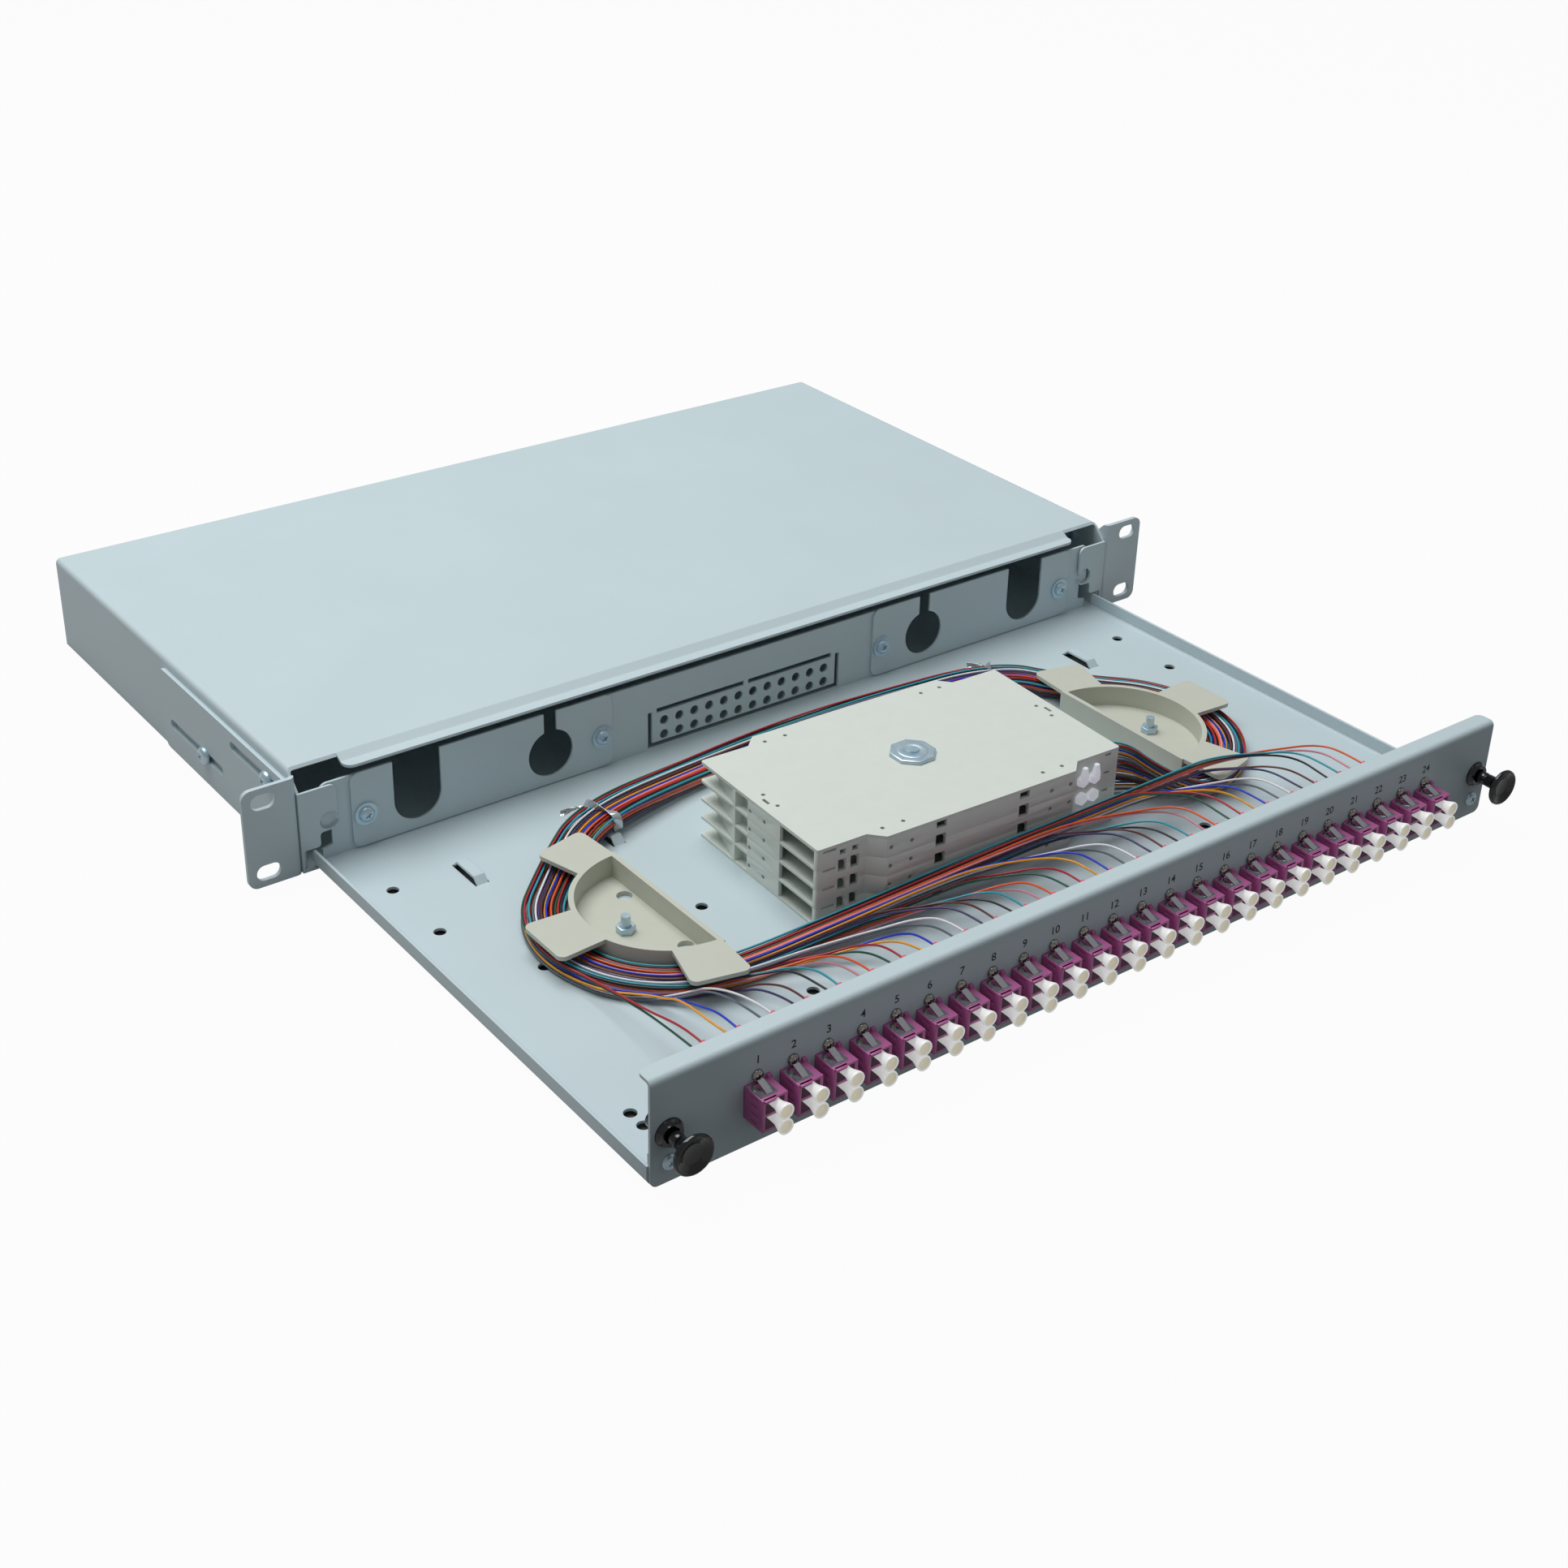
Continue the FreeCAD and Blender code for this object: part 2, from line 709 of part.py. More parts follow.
# Adapters: each block passes through the panel and is screwed on by a flange behind it
def adapter(x):
    front, back = panel_front - adapter_front_reach, panel_back + adapter_back_reach
    low, high = adapter_centre_z - adapter_height / 2, adapter_centre_z + adapter_height / 2
    half = adapter_width / 2
    block = box(x - half, x + half, front, back, low, high)
    flange_half = adapter_flange_height / 2
    flange = box(x - half, x + half, panel_back, panel_back + adapter_flange_thickness,
                 adapter_centre_z - flange_half, adapter_centre_z + flange_half)
    lug = box(x + half - adapter_lug_size, x + half, panel_front - adapter_lug_size, panel_front,
              high, high + adapter_lug_size)
    tools = []
    depth = (back - front - port_web) / 2
    for s in (-1, 1):
        z = adapter_centre_z + s * port_spacing / 2
        for y0, y1 in ((front, front + depth), (back - depth, back)):
            tools.append(box(x - port_width / 2, x + port_width / 2, y0, y1, z - port_height / 2, z + port_height / 2))
    for i in range(4):
        z = low + adapter_height * (i + 0.5) / 4
        for s in (-1, 1):
            tools.append(box(x + s * (half - adapter_side_slot_depth), x + s * half, front + 3.2, front + 6.4,
                             z - 0.45, z + 0.45))
    tools += [rod(x, panel_back - 1, adapter_centre_z + s * adapter_fixing_spacing / 2, adapter_screw_radius + thread_gap,
                  adapter_flange_thickness + 2, V(0, 1, 0)) for s in (-1, 1)]
    return cut(fuse(block, flange, lug), tools)


def adapter_clip(x):
    """A bent steel saddle on the block's top, with a sprung tongue that rises towards the panel."""
    top = adapter_centre_z + adapter_height / 2
    y1 = panel_front - clip_start
    y0 = y1 - clip_length
    half = clip_width / 2
    frame = box(x - half, x + half, y0, y1, top, top + clip_sheet)
    frame = cut(frame, [box(x - half + 1.0, x + half - 1.0, y0 + 1.0, y1 - 1.0, top - 1, top + 1)])
    rise = slab_x(
        [(y0 + 1.0, top, 0), (y1 - 1.4, top + clip_tongue_rise, 0),
         (y1 - 1.4, top + clip_tongue_rise + clip_sheet, 0), (y0 + 0.5, top + clip_sheet, 0), (y0 + 0.5, top, 0)],
        x - half / 2, x + half / 2)
    return fuse(frame, rise)


def adapter_screws():
    return [pan_screw(x, panel_front, z, adapter_screw_head_radius, adapter_screw_head_height, adapter_screw_radius,
                      adapter_screw_length, V(0, 1, 0)) for x, z in adapter_fixings()]


def dust_caps():
    """Hollow caps with a flared mouth, one in each front port."""
    caps = []
    front = panel_front - adapter_front_reach
    for x in adapter_places():
        for s in (-1, 1):
            at = V(x + dust_cap_offset, front - dust_cap_reach, adapter_centre_z + s * port_spacing / 2)
            ahead = V(0, 1, 0)
            length = dust_cap_reach + dust_cap_depth
            stem = Part.makeCylinder(dust_cap_stem_radius, length, at, ahead)
            mouth = Part.makeCylinder(dust_cap_mouth_radius, dust_cap_mouth_length / 2, at, ahead)
            flare = Part.makeCone(dust_cap_mouth_radius, dust_cap_stem_radius, dust_cap_mouth_length / 2,
                                  at + ahead * (dust_cap_mouth_length / 2), ahead)
            bore = Part.makeCylinder(dust_cap_bore_radius, length - 1.5, at, ahead)
            caps.append(cut(fuse(stem, mouth, flare), [bore]))
    return caps


def lc_connectors():
    """One twin connector behind each adapter: two plugs, the clip that joins them and two boots."""
    pieces = []
    back = panel_back + adapter_back_reach
    half = plug_body_size / 2
    for x in adapter_places():
        parts = []
        end = back + plug_body_length
        for s in (-1, 1):
            z = adapter_centre_z + s * port_spacing / 2
            parts.append(box(x - half, x + half, back - plug_insert, end, z - half, z + half))
            parts.append(Part.makeCone(boot_root_radius, boot_tip_radius, boot_length, V(x, end, z), V(0, 1, 0)))
        parts.append(box(x - half, x + half, end - plug_clip_length, end,
                         adapter_centre_z - port_spacing / 2, adapter_centre_z + port_spacing / 2))
        pieces.append(fuse(*parts))
    return pieces


# Push latches: a split grommet in the panel and a plunger that spreads it
def grommet():
    seat = V(latch_x, panel_front, latch_z)
    flange = Part.makeCone(grommet_flange_radius, grommet_flange_radius * 0.75, grommet_flange_height, seat, V(0, -1, 0))
    leg = Part.makeCylinder(grommet_leg_radius, grommet_leg_length, seat, V(0, 1, 0))
    bore = rod(latch_x, panel_front - 9, latch_z, grommet_bore_radius, 30, V(0, 1, 0))
    slit = box(latch_x - 0.5, latch_x + 0.5, panel_back + 1.5, panel_front + grommet_leg_length + 1,
               latch_z - 9, latch_z + 9)
    return cut(fuse(flange, leg), [bore, slit])


def plunger():
    tip = panel_front - plunger_out - plunger_disc_thickness
    back = V(0, 1, 0)
    disc = Part.makeCylinder(plunger_disc_radius, plunger_disc_thickness, V(latch_x, tip, latch_z), back)
    rim = [edge for edge in disc.Edges if edge.Length > 2 * plunger_disc_radius]
    disc = disc.makeFillet(plunger_disc_thickness * 0.42, rim)
    flare_start = tip + plunger_disc_thickness
    flare = Part.makeCone(plunger_neck_radius * 1.7, plunger_neck_radius, 2.2, V(latch_x, flare_start - 0.3, latch_z), back)
    neck_length = plunger_out - grommet_flange_height - 7.4
    neck = Part.makeCylinder(plunger_neck_radius, neck_length, V(latch_x, flare_start - 0.3, latch_z), back)
    pin_length = plunger_out + plunger_pin_depth
    pin = Part.makeCylinder(plunger_pin_radius, pin_length, V(latch_x, flare_start - 0.3, latch_z), back)
    return fuse(disc, flare, neck, pin)


# Cable entry plates on the tray's rear wall
def entry_plate():
    y1, y0 = tray_wall_front, tray_wall_front - entry_plate_sheet
    low = tray_top + entry_plate_floor_gap
    top = low + entry_plate_height
    plate = slab_y(rectangle(entry_plate_inner, entry_plate_outer, low, top, entry_plate_corner), y0, y1)
    slot = slab_y(
        [(u_slot_x - u_slot_radius, u_slot_bottom, u_slot_radius - 0.001),
         (u_slot_x + u_slot_radius, u_slot_bottom, u_slot_radius - 0.001),
         (u_slot_x + u_slot_radius, top + 9, 0), (u_slot_x - u_slot_radius, top + 9, 0)],
        y0 - 1, y1 + 1)
    round_hole = rod(keyhole_x, y0 - 1, keyhole_z, keyhole_radius, entry_plate_sheet + 2, V(0, 1, 0))
    neck = box(keyhole_x - keyhole_neck / 2, keyhole_x + keyhole_neck / 2, y0 - 1, y1 + 1, keyhole_z, top + 9)
    screws = [rod(x, y0 - 1, entry_screw_z, entry_screw_radius + thread_gap, entry_plate_sheet + 2, V(0, 1, 0))
              for x in (entry_screw_inner, entry_screw_outer)]
    return cut(plate, [slot, round_hole, neck] + screws)


def entry_fixings():
    return [s * x for s in (-1, 1) for x in (entry_screw_inner, entry_screw_outer)]


def entry_washers():
    seat = tray_wall_front - entry_plate_sheet
    washers = []
    for x in entry_fixings():
        ring = rod(x, seat, entry_screw_z, entry_washer_radius, entry_washer_thickness, V(0, -1, 0))
        washers.append(cut(ring, [rod(x, seat + 1, entry_screw_z, entry_screw_radius + thread_gap, 9, V(0, -1, 0))]))
    return washers


def entry_screws():
    seat = tray_wall_front - entry_plate_sheet - entry_washer_thickness
    length = tray_wall_back - seat + entry_screw_tail
    return [pan_screw(x, seat, entry_screw_z, entry_screw_head_radius, entry_screw_head_height, entry_screw_radius,
                      length, V(0, 1, 0)) for x in entry_fixings()]


# Fibre guides: half-round cups whose three wings hold the fibres down
def fibre_guide():
    """The right guide, with its straight wall towards the stack."""
    x, y = guide_x, fixing_line_y
    top = tray_top + guide_height
    half_plane = box(x, x + 99, y - 99, y + 99, tray_top, top)
    outer = rod(x, y, tray_top, guide_radius, guide_height, V(0, 0, 1)).common(half_plane)
    inner = rod(x, y, tray_top + guide_floor, guide_radius - guide_wall, guide_height, V(0, 0, 1))
    inner = inner.common(box(x + guide_wall, x + 99, y - 99, y + 99, tray_top, top + 9))
    under = top - guide_wing_thickness
    root = guide_radius * 0.75
    middle = slab_z(
        [(x + root, y - guide_wing_root_half_width, 0),
         (x + guide_wing_reach, y - guide_wing_half_width, guide_wing_corner),
         (x + guide_wing_reach, y + guide_wing_half_width, guide_wing_corner),
         (x + root, y + guide_wing_root_half_width, 0)],
        under, top)
    rear = slab_z(
        [(x, y + root, 0),
         (x + guide_end_wing_root, y + root, 0),
         (x + guide_end_wing_width, y + guide_end_wing_reach - guide_end_wing_slant, guide_wing_corner),
         (x + guide_wall, y + guide_end_wing_reach, guide_wing_corner)],
        under, top)
    front = rear.mirror(V(0, y, 0), V(0, 1, 0))
    keep = rod(x, y, tray_top - 1, guide_radius - guide_wall / 2, guide_height + 2, V(0, 0, 1))
    wings = [wing.cut(keep) for wing in (middle, rear, front)]
    holes = [rod(x + guide_hole_x, y + s * guide_hole_spread, tray_top - 1, guide_hole_radius, 9, V(0, 0, 1))
             for s in (-1, 1)]
    holes.append(rod(x + guide_stud_x, y, tray_top - 1, guide_stud_radius + thread_gap, 9, V(0, 0, 1)))
    return cut(fuse(outer.cut(inner), *wings), holes)


def guide_stud():
    foot = tray_bottom
    stud = rod(guide_x + guide_stud_x, fixing_line_y, foot, guide_stud_radius, guide_stud_top + tray_sheet, V(0, 0, 1))
    return stud


def guide_nut():
    x, z = guide_x + guide_stud_x, tray_top + guide_floor
    nut = polygon_prism(x, fixing_line_y, z, guide_nut_flats, guide_nut_height, 6, V(0, 0, 1))
    return cut(nut, [rod(x, fixing_line_y, z - 1, guide_stud_radius + thread_gap, 9, V(0, 0, 1))])


# Splice cassettes, modelled square about the stud and then turned a little on it
def turned(shape):
    shape = shape.copy()
    shape.translate(V(0, fixing_line_y, 0))
    shape.rotate(V(0, fixing_line_y, 0), V(0, 0, 1), stack_turn)
    return shape


def cassette_corners(inset, radius):
    """The cassette's outline: a rectangle whose long sides step out at the middle."""
    a, b = cassette_half_length - inset, cassette_half_corner - inset
    c, d = cassette_middle_half_length - inset, cassette_half_middle - inset
    step = cassette_half_middle - cassette_half_corner
    right = [(a, b, radius), (c + step, b, 0), (c, d, 0)]
    left = [(-u, v, r) for u, v, r in reversed(right)]
    upper = right + left
    lower = [(-u, -v, r) for u, v, r in upper]
    return upper + lower


def cassette_level(i):
    return tray_top + i * cassette_pitch


def seam_notches(x, width, y0, y1, z0, z1):
    """Notches at the foot and the rim of a side wall. Those of two cassettes meet and make one window."""
    return [box(x - width / 2, x + width / 2, y0, y1, z0 - 1, z0 + notch_rise),
            box(x - width / 2, x + width / 2, y0, y1, z1 - notch_depth, z1 + 1)]


def left_end_walls(base, rim):
    """The pocket beside the pin holes, and the slanted wall that leaves the rear corner a bare shelf."""
    end = -cassette_half_length
    back = end + pocket_depth + pocket_wall
    walls = [box(end, back, pocket_start - pocket_wall, pocket_start, base, rim),
             box(end, back, pocket_end, shelf_start, base, rim)]
    pocket_back = box(end + pocket_depth, back, pocket_start, pocket_end, base, rim)
    hole = box(end, back + 1, pocket_start, pocket_start + pocket_hole_width, base + pocket_hole_low,
               base + pocket_hole_high)
    walls.append(pocket_back.cut(hole))
    slant = [(end, shelf_start, 0), (end + shelf_wall, shelf_start, 0),
             (end + shelf_corner + shelf_wall, cassette_half_corner, 0), (end + shelf_corner, cassette_half_corner, 0)]
    return walls + [slab_z(slant, base, rim)]


def left_end_cuts(base, rim, near, far):
    """The front entry, the mouth of the pocket, and the shelf in front of the slanted wall."""
    end = -cassette_half_length
    shelf = [(-far, shelf_start, 0), (end, shelf_start, 0), (end + shelf_corner, cassette_half_corner, 0),
             (end + shelf_corner, far, 0), (-far, far, 0)]
    return [box(-near, -far, -left_entry_start, -left_entry_end, base, rim + 1),
            box(-near, -far, pocket_start, pocket_end, base, rim + 1),
            slab_z(shelf, base, rim + 1)]


def splice_tray(i):
    z0 = cassette_level(i)
    z1 = z0 + cassette_pitch
    base = z0 + cassette_floor
    shell = slab_z(cassette_corners(0, 1.0), z0, z1)
    hollow = slab_z(cassette_corners(cassette_wall, 0.5), base, z1 + 1)
    shape = fuse(shell.cut(hollow), *left_end_walls(base, z1))
    boss = rod(0, 0, z0, cassette_boss_radius, cassette_pitch, V(0, 0, 1))
    far = cassette_half_length + 9
    near = cassette_half_length - cassette_wall - 1
    tools = left_end_cuts(base, z1, near, far)
    tools += [box(near, far, sy * cassette_slot_start, sy * cassette_slot_end, base, z1 + 1) for sy in (-1, 1)]
    deep = cassette_half_middle + 9
    shallow = cassette_half_corner - 3
    for sx in (-1, 1):
        for sy in (-1, 1):
            tools += seam_notches(sx * cassette_window_x, cassette_window_width, sy * shallow, sy * deep, z0, z1)
            for x in (cassette_pin_near, cassette_pin_far):
                tools.append(rod(sx * x, sy * shallow, (z0 + z1) / 2, cassette_pin_hole, 99, V(0, sy, 0)))
        for y in (-5.0, 5.0):
            tools.append(rod(sx * near, y, (z0 + z1) / 2, cassette_pin_hole, 99, V(sx, 0, 0)))
    seams = ([z0] if i > 0 else []) + ([z1] if i < cassette_count - 1 else [])
    for seam in seams:
        for inset in link_insets:
            tools.append(rod(cassette_half_length - inset, -shallow, seam, link_stem_radius + thread_gap, 99,
                             V(0, -1, 0)))
    for x in corner_window_places:
        if i < cassette_count - 1:
            tools += seam_notches(x, corner_window_width, -shallow, -deep, z0, z1)
        else:
            half = top_window_width / 2
            tools += seam_notches(x, corner_window_width, -shallow, -deep, z0, z1)[:1]
            tools.append(box(x - half, x + half, -shallow, -deep, z1 - top_window_drop - top_window_height,
                             z1 - top_window_drop))
    for x0, x1 in seam_slot_places:
        tools.append(box(x0, x1, -shallow, -deep, z1 - seam_slot_height, z1 + 1))
    shape = cut(shape, tools)
    return turned(cut(fuse(shape, boss), [rod(0, 0, z0 - 1, stud_radius + stud_clearance, 99, V(0, 0, 1))]))


def splice_lid():
    z0 = cassette_level(cassette_count)
    z1 = z0 + lid_thickness
    plate = slab_z(cassette_corners(0, 1.0), z0, z1)
    tools = [rod(0, 0, z0 - 1, stud_radius + stud_clearance, 9, V(0, 0, 1))]
    for sx in (-1, 1):
        for sy in (-1, 1):
            for x in (cassette_pin_near, cassette_pin_far):
                tools.append(rod(sx * x, sy * (cassette_half_middle - lid_hole_inset), z0 - 1, lid_hole_radius, 9, V(0, 0, 1)))
            tools.append(rod(sx * (cassette_half_length - lid_hole_inset), sy * lid_side_hole_y, z0 - 1, lid_hole_radius,
                             9, V(0, 0, 1)))
        x = sx * (cassette_half_length - lid_hole_inset / 2 - 1)
        tools.append(box(x - lid_slot_width / 2, x + lid_slot_width / 2, -lid_slot_length / 2, lid_slot_length / 2,
                         z0 - 1, z1 + 1))
    return turned(cut(plate, tools))


def splice_comb(i):
    z0 = cassette_level(i) + cassette_floor
    base = box(-comb_length / 2, comb_length / 2, -comb_centre - comb_width / 2, -comb_centre + comb_width / 2,
               z0, z0 + comb_height)
    grooves = []
    for k in range(sleeve_columns):
        y = -comb_centre + (k - (sleeve_columns - 1) / 2) * sleeve_pitch
        reach = sleeve_radius + sleeve_gap
        grooves.append(box(-comb_length, comb_length, y - reach, y + reach, z0 + comb_base, z0 + comb_height + 1))
    return turned(cut(base, grooves))


def splice_sleeves():
    sleeves = []
    for i in range(cassette_count):
        z0 = cassette_level(i) + cassette_floor + comb_base
        for k in range(sleeve_columns):
            y = -comb_centre + (k - (sleeve_columns - 1) / 2) * sleeve_pitch
            for layer in range(sleeve_layers):
                z = z0 + sleeve_radius + layer * (2 * sleeve_radius + sleeve_gap)
                sleeves.append(turned(rod(-sleeve_length / 2, y, z, sleeve_radius, sleeve_length, V(1, 0, 0))))
    return sleeves


def cassette_links():
    """Six small pins with hexagonal heads, in the seams between the cassettes at one corner."""
    links = []
    for i in range(1, cassette_count):
        z = cassette_level(i)
        for inset in link_insets:
            x = cassette_half_length - inset
            face = -cassette_half_corner
            head = polygon_prism(x, face, z, link_flats, link_head, 6, V(0, -1, 0))
            stem = rod(x, face, z, link_stem_radius, cassette_wall, V(0, 1, 0))
            links.append(turned(fuse(head, stem)))
    return links


def stack_stud():
    top = cassette_level(cassette_count) + lid_thickness + stack_nut_height + stud_tip
    return rod(0, fixing_line_y, tray_bottom, stud_radius, top - tray_bottom, V(0, 0, 1))


def stack_nut():
    z = cassette_level(cassette_count) + lid_thickness
    nut = polygon_prism(0, fixing_line_y, z, stack_nut_flats, stack_nut_height, 8, V(0, 0, 1))
    rim = [edge for edge in nut.Edges if edge.BoundBox.ZMin > z + stack_nut_height / 2]
    nut = nut.makeChamfer(0.5, rim)
    return cut(nut, [rod(0, fixing_line_y, z - 1, stud_radius + thread_gap, 9, V(0, 0, 1))])


# Pigtail pairs. Each point of the bundle is X, Y, Z and the share of the climb to its cassette.
def round_guide(side, first, last):
    """Points round a guide from one bearing to another. The straight runs touch the bundle's circle."""
    radius = bundle_radius / math.cos(math.radians(bearing_step / 2))
    points = []
    for k in range(int(round((first - last) / bearing_step)) + 1):
        bearing = math.radians(first - k * bearing_step)
        x = side * guide_x + radius * math.cos(bearing)
        points.append((x, fixing_line_y + radius * math.sin(bearing), bundle_floor, 0))
    return points


def front_of_stack():
    """One point for each three pairs that join the bundle before it reaches the left guide."""
    left_edge = round_guide(-1, 270, 270)[0][1]
    run = layer_count * adapter_pitch
    points = []
    for k in range(front_points, 0, -1):
        share = math.sin(math.pi / 2 * k / front_points)
        points.append((-guide_x + k * run, left_edge - front_drift * share, bundle_floor + front_rise * share, 0))
    return points


def behind_stack():
    """Over the left bridge, behind the cassettes and over the right bridge."""
    high = bundle_on_bridge
    low = bundle_floor
    near = low + 0.6
    return [(-130.0, -56.0, near, 0), (-117.5, -47.5, high, 0), (-95.0, -39.5, high, 0), (-60.0, -31.5, near, 0),
            (-15.0, -26.5, low, 0), (30.0, -26.0, low, 0), (70.0, -29.5, near, 0), (98.0, -36.5, high, 0),
            (119.0, -46.2, high, 0), (131.0, -56.0, near, 0)]


def into_cassettes():
    low = bundle_floor
    return [(101.0, -153.5, low, 0.45), (84.5, -142.6, low, 1.0), (68.0, -141.0, low, 1.0)]


def bundle_route():
    return front_of_stack() + round_guide(-1, 270, 120) + behind_stack() + round_guide(1, 60, -90) + into_cassettes()


def moved_aside(route, distance):
    """The same route moved towards its inner side, each run staying parallel to its own."""
    moved = []
    for i, (x, y, z, share) in enumerate(route):
        sides = []
        for a, b in ((i - 1, i), (i, i + 1)):
            if a < 0 or b >= len(route):
                continue
            run = V(route[b][0] - route[a][0], route[b][1] - route[a][1], 0).normalize()
            sides.append(V(run.y, -run.x, 0))
        side = sides[0] if len(sides) == 1 else (sides[0] + sides[1]) * (1 / (1 + sides[0].dot(sides[1])))
        moved.append((x + side.x * distance, y + side.y * distance, z, share))
    return moved


def lead_out(x, landing, ahead):
    """From the back of a connector, down and round to the place where the pair joins its lane."""
    start = V(x, panel_back + adapter_back_reach + plug_body_length, adapter_centre_z)
    bend = start + V(0, lead_straight, 0)
    way = V(landing.x - bend.x, landing.y - bend.y, 0)
    fall = landing.z - bend.z
    first = min(lead_first_share * way.y, 2 * lead_straight)
    turn_in = bend + V(0, first, lead_first_fall * fall)
    turn_out = landing - ahead * (lead_last_share * way.Length) - V(0, 0, (1 - lead_last_fall) * fall)
    points = [start, bend, turn_in]
    if abs(way.x) > lead_straight:
        across = turn_out - turn_in
        middle = (turn_in + turn_out) * 0.5 + V(across.y, -across.x, 0) * lead_middle_bow
        points.append(V(middle.x, middle.y, bend.z + lead_middle_fall * fall))
    return points + [turn_out]


def pair_route(i):
    """The pairs from the right take the inner lanes, so no two pairs cross.

    Three pairs share a lane and join it at one point, and the last pair joins one point further on.
    Their order from the floor up changes from lane to lane.
    """
    order = adapter_count - 1 - i
    lane = order // layer_count
    layer = (order + lane_count - 1 - lane) % layer_count
    climb = cassette_level(lane * cassette_count // lane_count) + cassette_floor - tray_top
    rise = layer * layer_pitch
    whole = moved_aside(bundle_route(), (lane_mid - lane) * lane_pitch)
    joins = lane + (1 if order == adapter_count - 1 else 0)
    own = [V(x, y, z + rise + share * climb) for x, y, z, share in whole[joins:]]
    before, after = (whole[joins - 1], whole[joins]) if joins else (whole[0], whole[1])
    ahead = V(after[0] - before[0], after[1] - before[1], 0).normalize()
    return lead_out(adapter_places()[i], own[0], ahead) + own


def tube(path, diameter):
    """A round tube along straight runs joined by tangent arcs, its length and its smallest arc radius."""
    edges = []
    start = path[0]
    smallest = 1e9
    for i in range(1, len(path) - 1):
        back, ahead = path[i - 1] - path[i], path[i + 1] - path[i]
        reach = 0.45 * min(back.Length, ahead.Length)
        back.normalize()
        ahead.normalize()
        half_turn = (math.pi - back.getAngle(ahead)) / 2
        radius = reach / math.tan(half_turn)
        smallest = min(smallest, radius)
        bisector = (back + ahead).normalize()
        depth = radius / math.cos(half_turn) - radius
        enter, middle, leave = path[i] + back * reach, path[i] + bisector * depth, path[i] + ahead * reach
        edges.append(Part.LineSegment(start, enter).toShape())
        edges.append(Part.Arc(enter, middle, leave).toShape())
        start = leave
    edges.append(Part.LineSegment(start, path[-1]).toShape())
    wire = Part.Wire(edges)
    circle = Part.Wire(Part.makeCircle(diameter / 2, path[0], path[1] - path[0]))
    return wire.makePipeShell([circle], True, False), wire.Length, smallest


def pigtails(numbers):
    tubes = []
    section = math.pi * (pair_diameter / 2) ** 2
    for i in numbers:
        solid, length, smallest = tube(pair_route(i), pair_diameter)
        print("pair", i + 1, "length", round(length, 1), "smallest radius", round(smallest, 1),
              "volume over section times length", round(solid.Volume / (section * length), 4))
        tubes.append(solid)
    return tubes


def twist_tie(side):
    """A flat band closed round the bundle, standing on the bridge below it."""
    level = [point for point in behind_stack() if point[2] == bundle_on_bridge and point[0] * side > 0]
    start, end = V(*level[0][:3]), V(*level[1][:3])
    half = lane_mid * lane_pitch + pair_diameter / 2 + tie_gap
    low = -pair_diameter / 2 - tie_gap
    high = (layer_count - 1) * layer_pitch + pair_diameter / 2 + tie_gap
    w = tie_band_width / 2
    band = slab_x(rectangle(-half - tie_band, half + tie_band, low - tie_band, high + tie_band, 1.6), -w, w)
    band = band.cut(slab_x(rectangle(-half, half, low, high, 0.9), -w - 1, w + 1))
    band.rotate(V(0, 0, 0), V(0, 0, 1), math.degrees(math.atan2(end.y - start.y, end.x - start.x)))
    band.translate((start + end) * 0.5)
    return band


save("casing_cover", casing_cover())
save("casing_base", casing_base())
save("ear_right", ear())
save("ear_left", mirror(ear()))
save("ear_screws", *ear_screws())
save("ear_nuts", *ear_nuts())
save("tray", *tray_and_edges())
save("front_panel", front_panel())
save("panel_screws", *panel_screws())
for number, place in enumerate(adapter_places(), 1):
    save(f"adapter_{number:02d}", adapter(place))
save("adapter_clips", *[adapter_clip(place) for place in adapter_places()])
save("adapter_screws", *adapter_screws())
save("dust_caps", *dust_caps())
save("lc_connectors", *lc_connectors())
save("latch_grommets", *both(grommet()))
save("latch_plunger_right", plunger())
save("latch_plunger_left", mirror(plunger()))
save("entry_plate_right", entry_plate())
save("entry_plate_left", mirror(entry_plate()))
save("entry_washers", *entry_washers())
save("entry_screws", *entry_screws())
save("fibre_guide_right", fibre_guide())
save("fibre_guide_left", mirror(fibre_guide()))
save("guide_nuts", *both(guide_nut()))
for level in range(cassette_count):
    save(f"splice_tray_{level + 1}", splice_tray(level))
save("splice_lid", splice_lid())
save("splice_combs", *[splice_comb(level) for level in range(cassette_count)])
save("splice_sleeves", *splice_sleeves())
save("cassette_links", *cassette_links())
save("tray_studs", stack_stud(), *both(guide_stud()))
save("stack_nut", stack_nut())
half_row = adapter_count // 2
save("pigtails_left", *pigtails(range(half_row)))
save("pigtails_right", *pigtails(range(half_row, adapter_count)))
save("twist_ties", twist_tie(-1), twist_tie(1))
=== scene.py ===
# %% [markdown]
# # A rack-mounted fibre splice box
#
# The box is one unit high. Its drawer is pulled out: a sheet tray with a front panel of 24 duplex
# adapters, a stack of four splice cassettes, two fibre guides and the coloured pigtails that run round
# them. The solid model gives every size. This script loads it, keeps its places, and gives each part
# the finish and the fine shapes that a solid model leaves out. Two small functions do what is needed
# again and again: one puts a new object in the scene, the other turns a curve into a mesh.

# %% Load the solid model and keep its box
import math
import bpy
from mathutils import Matrix, Vector


